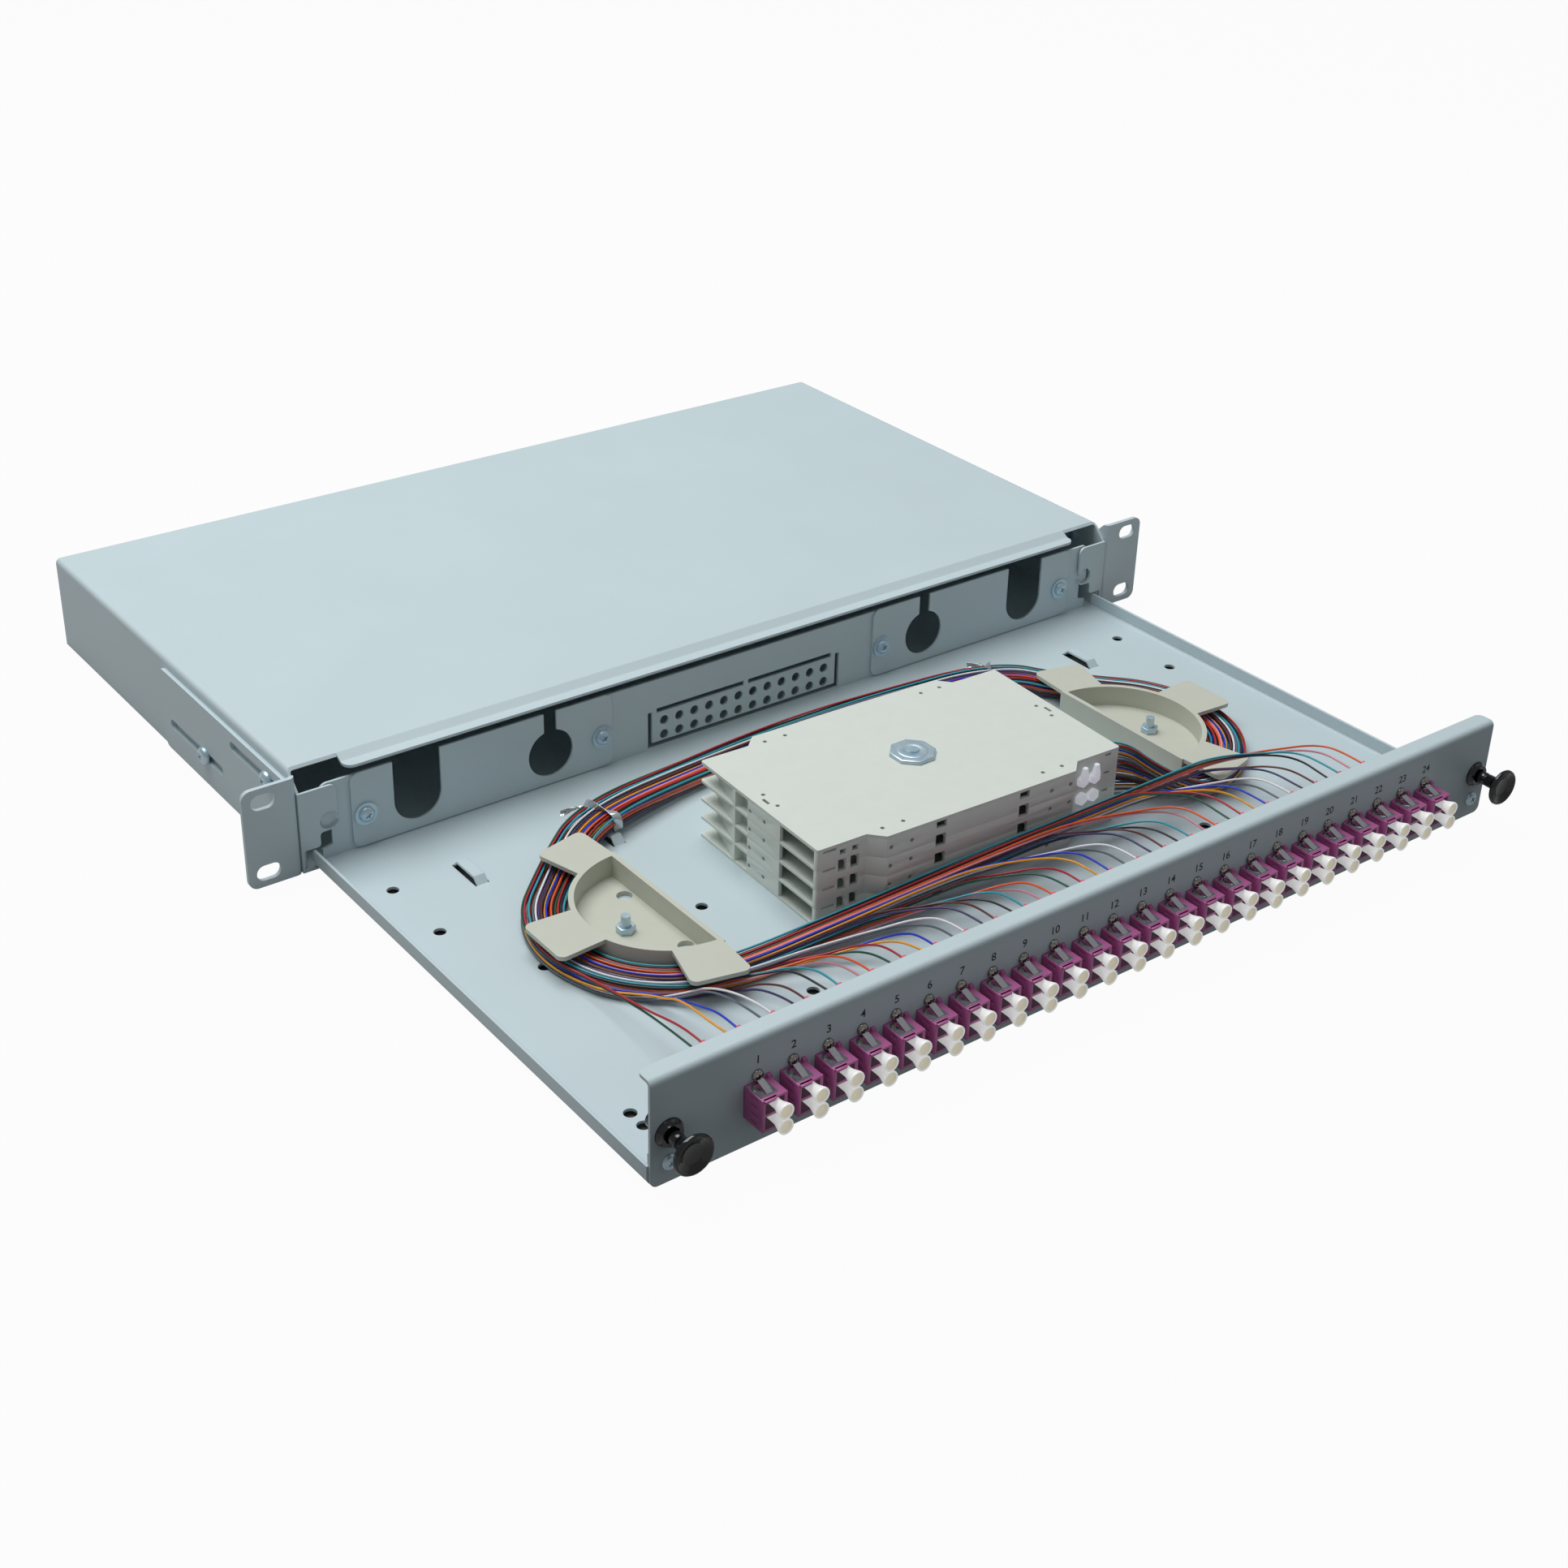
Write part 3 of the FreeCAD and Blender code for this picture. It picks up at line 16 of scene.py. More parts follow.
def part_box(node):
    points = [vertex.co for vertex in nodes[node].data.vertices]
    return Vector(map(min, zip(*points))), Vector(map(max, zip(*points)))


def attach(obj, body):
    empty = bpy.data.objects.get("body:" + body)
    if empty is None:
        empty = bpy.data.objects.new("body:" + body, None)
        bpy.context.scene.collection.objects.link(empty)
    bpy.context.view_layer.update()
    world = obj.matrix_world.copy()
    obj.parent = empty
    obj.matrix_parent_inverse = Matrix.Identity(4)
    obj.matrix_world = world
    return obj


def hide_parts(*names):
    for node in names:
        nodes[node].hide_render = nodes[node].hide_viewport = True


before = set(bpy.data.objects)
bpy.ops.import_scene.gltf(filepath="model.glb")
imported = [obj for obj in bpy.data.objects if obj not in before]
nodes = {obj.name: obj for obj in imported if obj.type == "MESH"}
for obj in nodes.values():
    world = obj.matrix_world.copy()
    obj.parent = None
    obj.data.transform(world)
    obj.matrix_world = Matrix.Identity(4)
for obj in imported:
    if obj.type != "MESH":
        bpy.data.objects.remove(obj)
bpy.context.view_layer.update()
MM = 0.001


def linked(name, data):
    """A new object in the scene."""
    thing = bpy.data.objects.new(name, data)
    bpy.context.scene.collection.objects.link(thing)
    return thing


def mesh_of(curve):
    """The mesh of a curve or a text, which is then removed."""
    holder = linked(curve.name, curve)
    mesh = bpy.data.meshes.new_from_object(holder)
    bpy.data.objects.remove(holder)
    bpy.data.curves.remove(curve)
    return mesh


# %% [markdown]
# ## Camera
#
# The photograph was taken from the front left and above, close enough for a clear perspective. Its
# viewpoint was worked out from the rack slots, which are 465.1 mm and 31.75 mm apart on every such box.
# The lens is a normal one, 52 mm on a 36 mm frame, and a small shift puts the box where the photograph
# has it.

# %% Place the camera
camera_data = bpy.data.cameras.new("camera")
camera = linked("camera", camera_data)
camera.location = (-0.53695, -0.72176, 0.46875)
camera.rotation_euler = [math.radians(angle) for angle in (62.073, -1.523, -37.17)]
camera_data.lens = 52.34
camera_data.shift_x = -0.00697
camera_data.shift_y = -0.05455
bpy.context.scene.camera = camera
print("camera at", [round(v, 3) for v in camera.location])

# %% [markdown]
# ## The pigtails' route
#
# Each adapter feeds two pigtails, thin coated fibres 0.9 mm across, that run as a pair. All pairs sweep
# to the left, join a flat bundle in front of the cassettes, go round the left guide, behind the
# cassettes and round the right guide, and end in the cassettes' side. A smooth curve that is drawn
# towards control points makes such a path: the same points as in the solid model, so the visible fibres
# lie where the solid ones are. The bundle has eight lanes side by side and three layers.

# %% Sizes of the bundle and the places it runs between, in millimetres
lane_count = 8
layer_count = 3
lane_pitch = 2.1
layer_pitch = 2.3
lane_mid = (lane_count - 1) / 2
adapter_count = 24
adapter_pitch = 14.8
adapter_top = 3.5
panel_front = -237.7
tray_top = -19.4
cassette_pitch = 8.4
cassette_floor = 1.2
guide_x = 120.6
fixing_line_y = -112.8
bundle_floor = -18.2
bundle_on_bridge = -14.55
bundle_radius = 47.75
front_drift = 11.0
front_rise = 13.0
connector_back_y = -214.8
connector_z = -3.0
lead_straight = 14.5
lead_rise = 1.0


def adapter_x(i):
    return (i - (adapter_count - 1) / 2) * adapter_pitch


print("the bundle is", lane_count, "lanes wide and", layer_count, "layers high")

# %% [markdown]
# The bundle's middle line is written once, with the share of the climb to its cassette as a fourth
# number. Round a guide, a control point every 30 degrees is enough, because the curve rounds the corner.

# %% Middle line of the bundle
def round_guide(side, first, last):
    radius = bundle_radius / math.cos(math.radians(15))
    points = []
    for k in range(int(round((first - last) / 30)) + 1):
        bearing = math.radians(first - 30 * k)
        points.append((side * guide_x + radius * math.cos(bearing),
                       fixing_line_y + radius * math.sin(bearing), bundle_floor, 0))
    return points


def front_of_stack():
    left_edge = round_guide(-1, 270, 270)[0][1]
    points = []
    for k in (5, 4, 3, 2, 1):
        share = math.sin(math.pi / 2 * k / 5)
        points.append((-guide_x + k * layer_count * adapter_pitch, left_edge - front_drift * share,
                       bundle_floor + front_rise * share, 0))
    return points


high, low, near = bundle_on_bridge, bundle_floor, bundle_floor + 0.6
behind_stack = [(-130, -56, near, 0), (-117.5, -47.5, high, 0), (-95, -39.5, high, 0),
                (-60, -31.5, near, 0), (-15, -26.5, low, 0), (30, -26, low, 0), (70, -29.5, near, 0),
                (98, -36.5, high, 0), (119, -46.2, high, 0), (131, -56, near, 0)]
into_cassettes = [(101, -153.5, low, 0.45), (84.5, -142.6, low, 1), (68, -141, low, 1)]
bundle = (front_of_stack() + round_guide(-1, 270, 120) + behind_stack + round_guide(1, 60, -90)
          + into_cassettes)
print("the bundle's middle line has", len(bundle), "points")

# %% [markdown]
# A lane is the middle line moved sideways, and each pair leaves its connector straight back, drops and
# turns into its lane. It rises a little first, as the boots in the photograph do. The pairs from the
# right take the inner lanes, so that none has to cross another.
# Their order from the floor up changes from lane to lane, which mixes the colours as a real bundle does.

# %% Route of each pair
def moved_aside(route, distance):
    moved = []
    for i, (x, y, z, share) in enumerate(route):
        sides = []
        for a, b in ((i - 1, i), (i, i + 1)):
            if a >= 0 and b < len(route):
                run = Vector((route[b][0] - route[a][0], route[b][1] - route[a][1], 0)).normalized()
                sides.append(Vector((run.y, -run.x, 0)))
        side = sides[0] if len(sides) == 1 else (sides[0] + sides[1]) / (1 + sides[0].dot(sides[1]))
        moved.append((x + side.x * distance, y + side.y * distance, z, share))
    return moved


def lead_out(x, landing, ahead):
    start = Vector((x, connector_back_y, connector_z))
    bend = start + Vector((0, lead_straight, lead_rise))
    way = Vector((landing.x - bend.x, landing.y - bend.y, 0))
    fall = landing.z - bend.z
    turn_in = bend + Vector((0, min(0.5 * way.y, 2 * lead_straight), 0.45 * fall))
    turn_out = landing - ahead * (0.3 * way.length) - Vector((0, 0, 0.03 * fall))
    points = [start, bend, turn_in]
    if abs(way.x) > lead_straight:
        across = turn_out - turn_in
        middle = (turn_in + turn_out) / 2 + Vector((across.y, -across.x, 0)) * 0.04
        points.append(Vector((middle.x, middle.y, bend.z + 0.8 * fall)))
    return points + [turn_out]


def pair_route(i):
    """Points of pair i in metres."""
    order = adapter_count - 1 - i
    lane = order // layer_count
    layer = (order + lane_count - 1 - lane) % layer_count
    climb = cassette_pitch * (lane // 2) + cassette_floor
    whole = moved_aside(bundle, (lane_mid - lane) * lane_pitch)
    joins = lane + (1 if order == adapter_count - 1 else 0)
    own = [Vector((x, y, z + layer * layer_pitch + share * climb)) for x, y, z, share in whole[joins:]]
    before, after = (whole[joins - 1], whole[joins]) if joins else (whole[0], whole[1])
    ahead = Vector((after[0] - before[0], after[1] - before[1], 0)).normalized()
    return [point * MM for point in lead_out(adapter_x(i), own[0], ahead) + own]


print("pair 1 has", len(pair_route(0)), "control points, pair 24 has", len(pair_route(23)))

# %% [markdown]
# ## Colours and a helper for materials
#
# Colours are given as they look on a screen, and a shader wants them linear, so one function turns
# them. Node materials are built from many small steps of the same kind: add a node, set it up, link its
# inputs. One helper does that, and each material below is then a short list of such steps.

# %% Helpers for materials
def linear(hex_colour):
    channels = []
    for i in (0, 2, 4):
        c = int(hex_colour[i:i + 2], 16) / 255
        channels.append(c / 12.92 if c <= 0.04045 else ((c + 0.055) / 1.055) ** 2.4)
    return (*channels, 1)


def add(tree, kind, settings=(), **inputs):
    """Adds one node. An input is named with _ for a space, or i6 is the node's input number 6."""
    node = tree.nodes.new("ShaderNode" + kind)
    for name, value in dict(settings).items():
        setattr(node, name, value)
    for name, value in inputs.items():
        key = int(name[1:]) if name[0] == "i" and name[1:].isdigit() else name.replace("_", " ")
        if isinstance(value, bpy.types.NodeSocket):
            tree.links.new(value, node.inputs[key])
        else:
            node.inputs[key].default_value = value
    return node


def start_material(name, **constants):
    """A new material, its node tree, its object coordinates and its shader with constants set."""
    material = bpy.data.materials.new(name)
    material.use_nodes = True
    tree = material.node_tree
    shader = tree.nodes["Principled BSDF"]
    for key, value in constants.items():
        shader.inputs[key.replace("_", " ")].default_value = value
    place = add(tree, "TexCoord").outputs["Object"]
    return material, tree, shader, place


def feed(tree, shader, **sources):
    """Links outputs to the shader's inputs. An input is named with _ for a space."""
    for name, output in sources.items():
        tree.links.new(output, shader.inputs[name.replace("_", " ")])


print("powder coat's grey in linear light is", [round(c, 3) for c in linear("c0d1d6")])

# %% [markdown]
# ## Fibre coating
#
# The pigtails have a tight 0.9 mm jacket of extruded polyamide in the twelve colours of fibre coding.
# The extruded skin is smooth with a satin gloss, and its colour wavers a little along the fibre. One
# function makes the twelve materials, because only the colour differs.

# %% Twelve coating colours
coating_colours = {"red": "b0262f", "green": "17563f", "blue": "1c39c8", "yellow": "f0a416",
                   "white": "e9e8ee", "grey": "66727a", "brown": "5e342e", "violet": "3f3768",
                   "turquoise": "2f9fb0", "black": "1b1c20", "orange": "e85c26", "pink": "e09aa6"}


def fibre_coating(colour):
    name = "polyamide_coating_" + colour
    material, tree, shader, place = start_material(name, Roughness=0.32, IOR=1.53)
    drift = add(tree, "TexNoise", Vector=place, Scale=1 / (12 * MM), Detail=2.0)
    level = add(tree, "MapRange", Value=drift.outputs["Fac"], To_Min=0.7, To_Max=1.25)
    shade = add(tree, "Mix", {"data_type": "RGBA", "blend_type": "MULTIPLY"}, i0=0.35,
                i6=linear(coating_colours[colour]), i7=level.outputs["Result"])
    feed(tree, shader, Base_Color=shade.outputs[2])
    return material


coatings = {colour: fibre_coating(colour) for colour in coating_colours}
pair_colours = [("red", "green"), ("blue", "yellow"), ("white", "grey"), ("brown", "violet"),
                ("turquoise", "black"), ("orange", "pink")]
print(len(coatings), "coatings; a pair's colours repeat every", len(pair_colours), "adapters")

# %% [markdown]
# ## The pigtails
#
# For each pair, the control points become a smooth spline, and its evaluated line gives the middle line
# of the pair. Two strands then follow that line a little to each side of it, and slowly wind round each
# other as loose fibres do. They start one above the other, in the boots of the two connectors.

# %% Middle line of a route
def add_spline(curve, kind, places):
    curve.dimensions = "3D"
    spline = curve.splines.new(kind)
    spline.points.add(len(places) - 1)
    for point, place in zip(spline.points, places):
        point.co = (*place, 1)
    return spline


def middle_line(name, route):
    curve = bpy.data.curves.new(name, "CURVE")
    curve.resolution_u = 10
    spline = add_spline(curve, "NURBS", route)
    spline.order_u = 3
    spline.use_endpoint_u = True
    mesh = mesh_of(curve)
    line = [vertex.co.copy() for vertex in mesh.vertices]
    bpy.data.meshes.remove(mesh)
    return line


def length_of(line):
    return sum((b - a).length for a, b in zip(line, line[1:]))


test_line = middle_line("test", pair_route(23))
print("pair 24 is", round(length_of(test_line) * 1000, 1), "mm long, in", len(test_line), "points")

# %% Strands of a pair
strand_radius = 0.45 * MM
boot_gap = 2.65 * MM
side_gap = 0.5 * MM
boot_end = 8 * MM
merge_end = 48 * MM


def strand_points(line, side, seed):
    """One strand beside the middle line: apart in the boots, then close, winding slowly."""
    points = []
    travelled = 0
    for i, point in enumerate(line):
        if i:
            travelled += (point - line[i - 1]).length
        ahead = (line[min(i + 1, len(line) - 1)] - line[max(i - 1, 0)]).normalized()
        level = ahead.cross(Vector((0, 0, 1))).normalized()
        above = level.cross(ahead)
        t = min(max((travelled - boot_end) / (merge_end - boot_end), 0), 1)
        ease = t * t * (3 - 2 * t)
        loose = side_gap * (1 + 0.25 * math.sin(travelled * 61 + seed))
        apart = boot_gap + (loose - boot_gap) * ease
        turn = math.pi / 2 + ease * (0.9 * math.sin(travelled * 23 + seed * 1.7) - 0.9)
        points.append(point + (level * math.cos(turn) + above * math.sin(turn)) * apart * side)
    return points


def pair_mesh(name, line, colours, seed):
    curve = bpy.data.curves.new(name, "CURVE")
    curve.bevel_depth = strand_radius
    curve.bevel_resolution = 2
    curve.use_fill_caps = True
    for index, (side, colour) in enumerate(zip((1, -1), colours)):
        curve.materials.append(coatings[colour])
        add_spline(curve, "POLY", strand_points(line, side, seed)).material_index = index
    mesh = mesh_of(curve)
    mesh.shade_smooth()
    return linked(name, mesh)


print("a strand is", round(strand_radius * 2000, 2), "mm across")

for i in range(adapter_count):
    line = middle_line(f"line_{i + 1:02d}", pair_route(i))
    pair = pair_mesh(f"pigtail_pair_{i + 1:02d}", line, pair_colours[i % 6], i * 2.4)
    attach(pair, "drawer")
    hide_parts("pigtails_left" if i < adapter_count // 2 else "pigtails_right")
print("made", adapter_count, "pairs, the last with", len(pair.data.polygons), "faces")

# %% [markdown]
# ## Light grey powder coat
#
# The sheet steel is painted with baked polyester powder. Its grains melt into a closed film with a faint
# orange peel, waves about a millimetre long and a few hundredths high, so reflections are soft. The peel
# is drawn at 1.6 mm because finer waves don't show at this size. A fine grain changes the gloss, and a
# broad, weak drift of the grey keeps large faces from looking drawn. Paint also rounds every sheared
# edge, which the Bevel node gives to the shading without new faces.

# %% Powder coat
def powder_coat(name, colour):
    material, tree, shader, place = start_material(name, IOR=1.5)
    drift = add(tree, "TexNoise", Vector=place, Scale=1 / (60 * MM), Detail=3.0)
    shade = add(tree, "ValToRGB", Fac=drift.outputs["Fac"])
    for stop, position, level in zip(shade.color_ramp.elements, (0.3, 0.7), (0.965, 1)):
        stop.position = position
        stop.color = [c * level for c in linear(colour)[:3]] + [1]
    grain = add(tree, "TexNoise", Vector=place, Scale=1 / (0.5 * MM), Detail=2.0)
    gloss = add(tree, "MapRange", Value=grain.outputs["Fac"], To_Min=0.38, To_Max=0.52)
    edge = add(tree, "Bevel", {"samples": 4}, Radius=0.3 * MM)
    peel = add(tree, "TexNoise", Vector=place, Scale=1 / (1.6 * MM), Detail=1.0)
    bump = add(tree, "Bump", Height=peel.outputs["Fac"], Normal=edge.outputs["Normal"], Strength=0.12,
               Distance=0.05 * MM)
    feed(tree, shader, Base_Color=shade.outputs["Color"], Roughness=gloss.outputs["Result"],
         Normal=bump.outputs["Normal"])
    return material


grey_powder_coat = powder_coat("polyester_powder_coat_grey", "c0d1d6")
sheet_nodes = ["casing_cover", "casing_base", "ear_left", "ear_right", "tray", "front_panel",
               "entry_plate_left", "entry_plate_right"]
for name in sheet_nodes:
    nodes[name].data.materials.clear()
    nodes[name].data.materials.append(grey_powder_coat)
print("powder coat on", len(sheet_nodes), "sheet parts")

# %% [markdown]
# ## Moulded plastics
#
# Nearly all the rest is injection moulded. A mould is spark-eroded or polished, and the part copies it:
# a spark-eroded face has a fine pitted grain, about 0.1 mm, and looks satin. The grain is drawn at
# 0.4 mm, the finest that shows here. Plastic also has slow flow marks, a faint change of shade over some
# millimetres. One function with a grain depth and a gloss makes them all. What differs is the polymer's
# colour and the polish of its mould. Polyethylene and natural nylon are milky: light soaks in at the top
# and comes out at the front, so a thin cap looks white even on its dark side. That light is drawn as a
# faint even glow, which is far less grainy than true scattering in such small parts.

# %% Moulded plastic
def moulded(name, colour, rough, grain_depth, flow=0.08, **constants):
    material, tree, shader, place = start_material(name, **constants)
    marks = add(tree, "TexNoise", Vector=place, Scale=1 / (7 * MM), Detail=2.0, Distortion=0.6)
    level = add(tree, "MapRange", Value=marks.outputs["Fac"], To_Min=1 - flow, To_Max=1 + flow / 2)
    shade = add(tree, "Mix", {"data_type": "RGBA", "blend_type": "MULTIPLY"}, i0=1.0, i6=linear(colour),
                i7=level.outputs["Result"])
    grain = add(tree, "TexNoise", Vector=place, Scale=1 / (0.4 * MM), Detail=2.0)
    gloss = add(tree, "MapRange", Value=grain.outputs["Fac"], To_Min=rough * 0.8, To_Max=rough * 1.2)
    bump = add(tree, "Bump", Height=grain.outputs["Fac"], Strength=0.25, Distance=grain_depth * MM)
    feed(tree, shader, Base_Color=shade.outputs[2], Roughness=gloss.outputs["Result"],
         Normal=bump.outputs["Normal"])
    return material


cassette_abs = moulded("abs_cream_spark_eroded", "d3dad2", 0.45, 0.03, flow=0.04, IOR=1.53)
guide_abs = moulded("abs_warm_grey_spark_eroded", "c3c6b9", 0.48, 0.03, flow=0.04, IOR=1.53)
adapter_pbt = moulded("pbt_violet_moulded", "b85f9b", 0.36, 0.02, IOR=1.55)
port_shade_pbt = moulded("pbt_violet_with_painted_port_shade", "4c1d40", 0.5, 0.02, IOR=1.55)
cap_polyethylene = moulded("polyethylene_white_moulded", "c0c1c0", 0.34, 0.01, flow=0.02, IOR=1.52,
                           Emission_Color=linear("fbfcfb"), Emission_Strength=0.42)
cap_bore = moulded("polyethylene_white_in_shade", "bcb8a8", 0.5, 0.01, flow=0.02, IOR=1.52,
                   Emission_Color=linear("f4eedb"), Emission_Strength=0.3)
plug_nylon = moulded("nylon_natural_moulded", "c9cbd1", 0.34, 0.01, flow=0.02, IOR=1.53,
                     Emission_Color=linear("f0f2fb"), Emission_Strength=0.3)
latch_nylon = moulded("nylon_black_polished", "0f1013", 0.14, 0.004, IOR=1.53, Coat_Weight=0.3,
                      Coat_Roughness=0.06)
boot_elastomer = moulded("elastomer_pink_moulded", "e8506f", 0.5, 0.02, IOR=1.5)
comb_abs = moulded("abs_white_moulded", "dfe1dc", 0.4, 0.02, IOR=1.53)
sleeve_tube = moulded("polyolefin_clear_shrink_tube", "d9dad8", 0.18, 0.01, IOR=1.5,
                      Transmission_Weight=0.5)
print("plastics:", cassette_abs.name, guide_abs.name, adapter_pbt.name, latch_nylon.name)

# %% [markdown]
# ## Plated and bright steel
#
# Screws, nuts and studs are zinc plated and passivated: a bright metal with a cool blue cast that
# wanders a little towards straw. The adapter screws are nickel plated and polished by tumbling, a warm
# and rather dark mirror. The clips are hard rolled spring strip, with rolling lines a few hundredths of
# a millimetre apart along the strip, drawn here 0.15 mm apart. All three have their own roughness
# pattern. The passivated zinc is only partly metallic, because its chalky film scatters some of the
# light before it reaches the metal.

# %% Metals
def plated_steel(name, colours, rough, spread, stretch=(1, 1, 1), scale=2.5, metallic=1.0):
    material, tree, shader, place = start_material(name, Metallic=metallic)
    along = add(tree, "Mapping", Vector=place, Scale=stretch)
    cloud = add(tree, "TexNoise", Vector=along.outputs["Vector"], Scale=1 / (scale * MM), Detail=3.0)
    tint = add(tree, "ValToRGB", Fac=cloud.outputs["Fac"])
    for stop, position, colour in zip(tint.color_ramp.elements, (0.35, 0.65), colours):
        stop.position = position
        stop.color = linear(colour)
    gloss = add(tree, "MapRange", Value=cloud.outputs["Fac"], To_Min=rough - spread,
                To_Max=rough + spread)
    feed(tree, shader, Base_Color=tint.outputs["Color"], Roughness=gloss.outputs["Result"])
    return material


zinc_plate = plated_steel("zinc_plate_blue_passivated", ("b4cfdf", "c6d8e0"), 0.34, 0.03, scale=4.0,
                          metallic=0.6)
nickel_plate = plated_steel("nickel_plate_tumbled", ("86827d", "aeaaa5"), 0.09, 0.03, scale=1.0)
spring_strip = plated_steel("spring_steel_rolled_strip", ("c4c6ca", "e0e2e4"), 0.14, 0.05,
                            stretch=(1, 0.06, 1), scale=0.15)
print("metals:", zinc_plate.name, nickel_plate.name, spring_strip.name)

# %% [markdown]
# ## Rounded edges on moulded parts
#
# A moulded part has no sharp edges: each is rounded by some tenths of a millimetre, and that thin
# highlight tells the eye that it is plastic. The solid model has the right shapes with sharp edges. So
# each part's mesh is copied, its loose triangles are merged and flat areas made one face again, and a
# Bevel modifier rounds the edges. It is quicker than modelling the same shape twice, and it can't drift
# away from the solid.

# %% Copy and round a solid node
def pick(*pieces):
    bpy.ops.object.select_all(action="DESELECT")
    for piece in pieces:
        piece.select_set(True)
    bpy.context.view_layer.objects.active = pieces[0]


def smooth(piece, angle=35):
    pick(piece)
    bpy.ops.object.shade_smooth_by_angle(angle=math.radians(angle))


def beveled(piece, width, angle=40, segments=2):
    pick(piece)
    edge = piece.modifiers.new("edge", "BEVEL")
    edge.width = width * MM
    edge.segments = segments
    edge.limit_method = "ANGLE"
    edge.angle_limit = math.radians(angle)
    bpy.ops.object.modifier_apply(modifier="edge")


def rounded(node, width, segments=2):
    """A copy of a solid node with merged faces and rounded edges."""
    piece = linked(node + "_moulded", nodes[node].data.copy())
    pick(piece)
    bpy.ops.object.mode_set(mode="EDIT")
    bpy.ops.mesh.select_all(action="SELECT")
    bpy.ops.mesh.remove_doubles(threshold=0.004 * MM)
    bpy.ops.mesh.dissolve_limited(angle_limit=math.radians(0.6))
    bpy.ops.object.mode_set(mode="OBJECT")
    beveled(piece, width, segments=segments)
    smooth(piece)
    return piece


def flat_faces_flat(piece):
    """Turns the shading of each rounding towards the larger face beside it, so large faces look flat."""
    pick(piece)
    weighted = piece.modifiers.new("weighted", "WEIGHTED_NORMAL")
    weighted.keep_sharp = True
    bpy.ops.object.modifier_apply(modifier="weighted")
    return piece


def dressed(piece, material, body, slot, *replaced):
    """Gives a finished piece its material, its body and the nodes it stands for. The slot argument is
    not used.
    """
    if material:
        piece.data.materials.clear()
        piece.data.materials.append(material)
    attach(piece, body)
    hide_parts(*replaced)
    return piece


print("helpers ready to copy and round", len(nodes), "nodes")

# %% [markdown]
# ## Cassettes, lid and guides
#
# The four splice cassettes and their lid are cream ABS, the two half-round fibre guides a warmer grey.
# Their walls are 1.6 to 2.2 mm, so a quarter of a millimetre is a believable rounding. The lid's is
# finer. Where two cassettes meet, their roundings make the fine seam that shows how the stack is built.

# %% Round the cassettes and guides
for name in ("splice_tray_1", "splice_tray_2", "splice_tray_3", "splice_tray_4", "splice_lid"):
    piece = rounded(name, 0.14 if name == "splice_lid" else 0.24)
    if name == "splice_lid":
        piece = flat_faces_flat(piece)
    dressed(piece, cassette_abs, "drawer", "cassette_plastic", name)
for name in ("fibre_guide_left", "fibre_guide_right"):
    dressed(flat_faces_flat(rounded(name, 0.3)), guide_abs, "drawer", "grey_guide_plastic", name)
for name, material in (("splice_combs", comb_abs), ("splice_sleeves", sleeve_tube),
                       ("tray_studs", zinc_plate), ("entry_washers", zinc_plate),
                       ("ear_nuts", zinc_plate)):
    nodes[name].data.materials.clear()
    nodes[name].data.materials.append(material)
print("rounded the cassettes, the lid and both guides")

# %% [markdown]
# ## Round parts
#
# Screws, knobs, caps and plugs are round. A turned part is easiest to build as a lathe does: one ring of
# points is extruded from station to station, and scaled to the radius of each. The stations are written
# as radius and distance along the axis. The piece is then turned to its direction and put in its place,
# inside its mesh, so the object itself stays at the origin.

# %% Turned parts
def primitive(operator, **settings):
    """A new primitive, with all else deselected."""
    bpy.ops.object.select_all(action="DESELECT")
    operator(**settings)
    return bpy.context.object


def turned_piece(name, stations, sides=32):
    """A closed round piece about Z from stations (radius, height) in millimetres."""
    first = stations[0]
    piece = primitive(bpy.ops.mesh.primitive_circle_add, vertices=sides, radius=first[0] * MM,
                      fill_type="NOTHING", location=(0, 0, first[1] * MM))
    piece.name = name
    bpy.ops.object.transform_apply(location=True, rotation=False, scale=False)
    bpy.ops.object.mode_set(mode="EDIT")
    bpy.ops.mesh.select_mode(type="VERT")
    bpy.ops.mesh.select_all(action="SELECT")
    bpy.ops.mesh.duplicate()
    bpy.ops.mesh.edge_face_add()
    bpy.ops.mesh.select_all(action="DESELECT")
    bpy.ops.object.mode_set(mode="OBJECT")
    for vertex in list(piece.data.vertices)[:sides]:
        vertex.select = True
    for edge in list(piece.data.edges)[:sides]:
        edge.select = True
    bpy.ops.object.mode_set(mode="EDIT")
    for before, after in zip(stations, stations[1:]):
        rise = (after[1] - before[1]) * MM
        bpy.ops.mesh.extrude_region_move(TRANSFORM_OT_translate={"value": (0, 0, rise)})
        scale = after[0] / before[0]
        bpy.ops.transform.resize(value=(scale, scale, 1), center_override=(0, 0, after[1] * MM))
    bpy.ops.mesh.edge_face_add()
    bpy.ops.mesh.select_all(action="SELECT")
    bpy.ops.mesh.remove_doubles(threshold=0.001 * MM)
    bpy.ops.mesh.normals_make_consistent(inside=False)
    bpy.ops.object.mode_set(mode="OBJECT")
    smooth(piece)
    return piece


def copied(piece, name, place):
    """A copy with its own mesh, put in its place."""
    copy = linked(name, piece.data.copy())
    copy.data.transform(place)
    return copy


def joined(name, pieces):
    pick(*pieces)
    bpy.ops.object.join()
    pieces[0].name = name
    return pieces[0]


def at(x, y, z, turn=None):
    return Matrix.Translation(Vector((x, y, z)) * MM) @ (turn or Matrix())


to_front = Matrix.Rotation(math.radians(90), 4, "X")
print("a part turned along Z and set to the front points to",
      [round(v) for v in to_front @ Vector((0, 0, 1))])

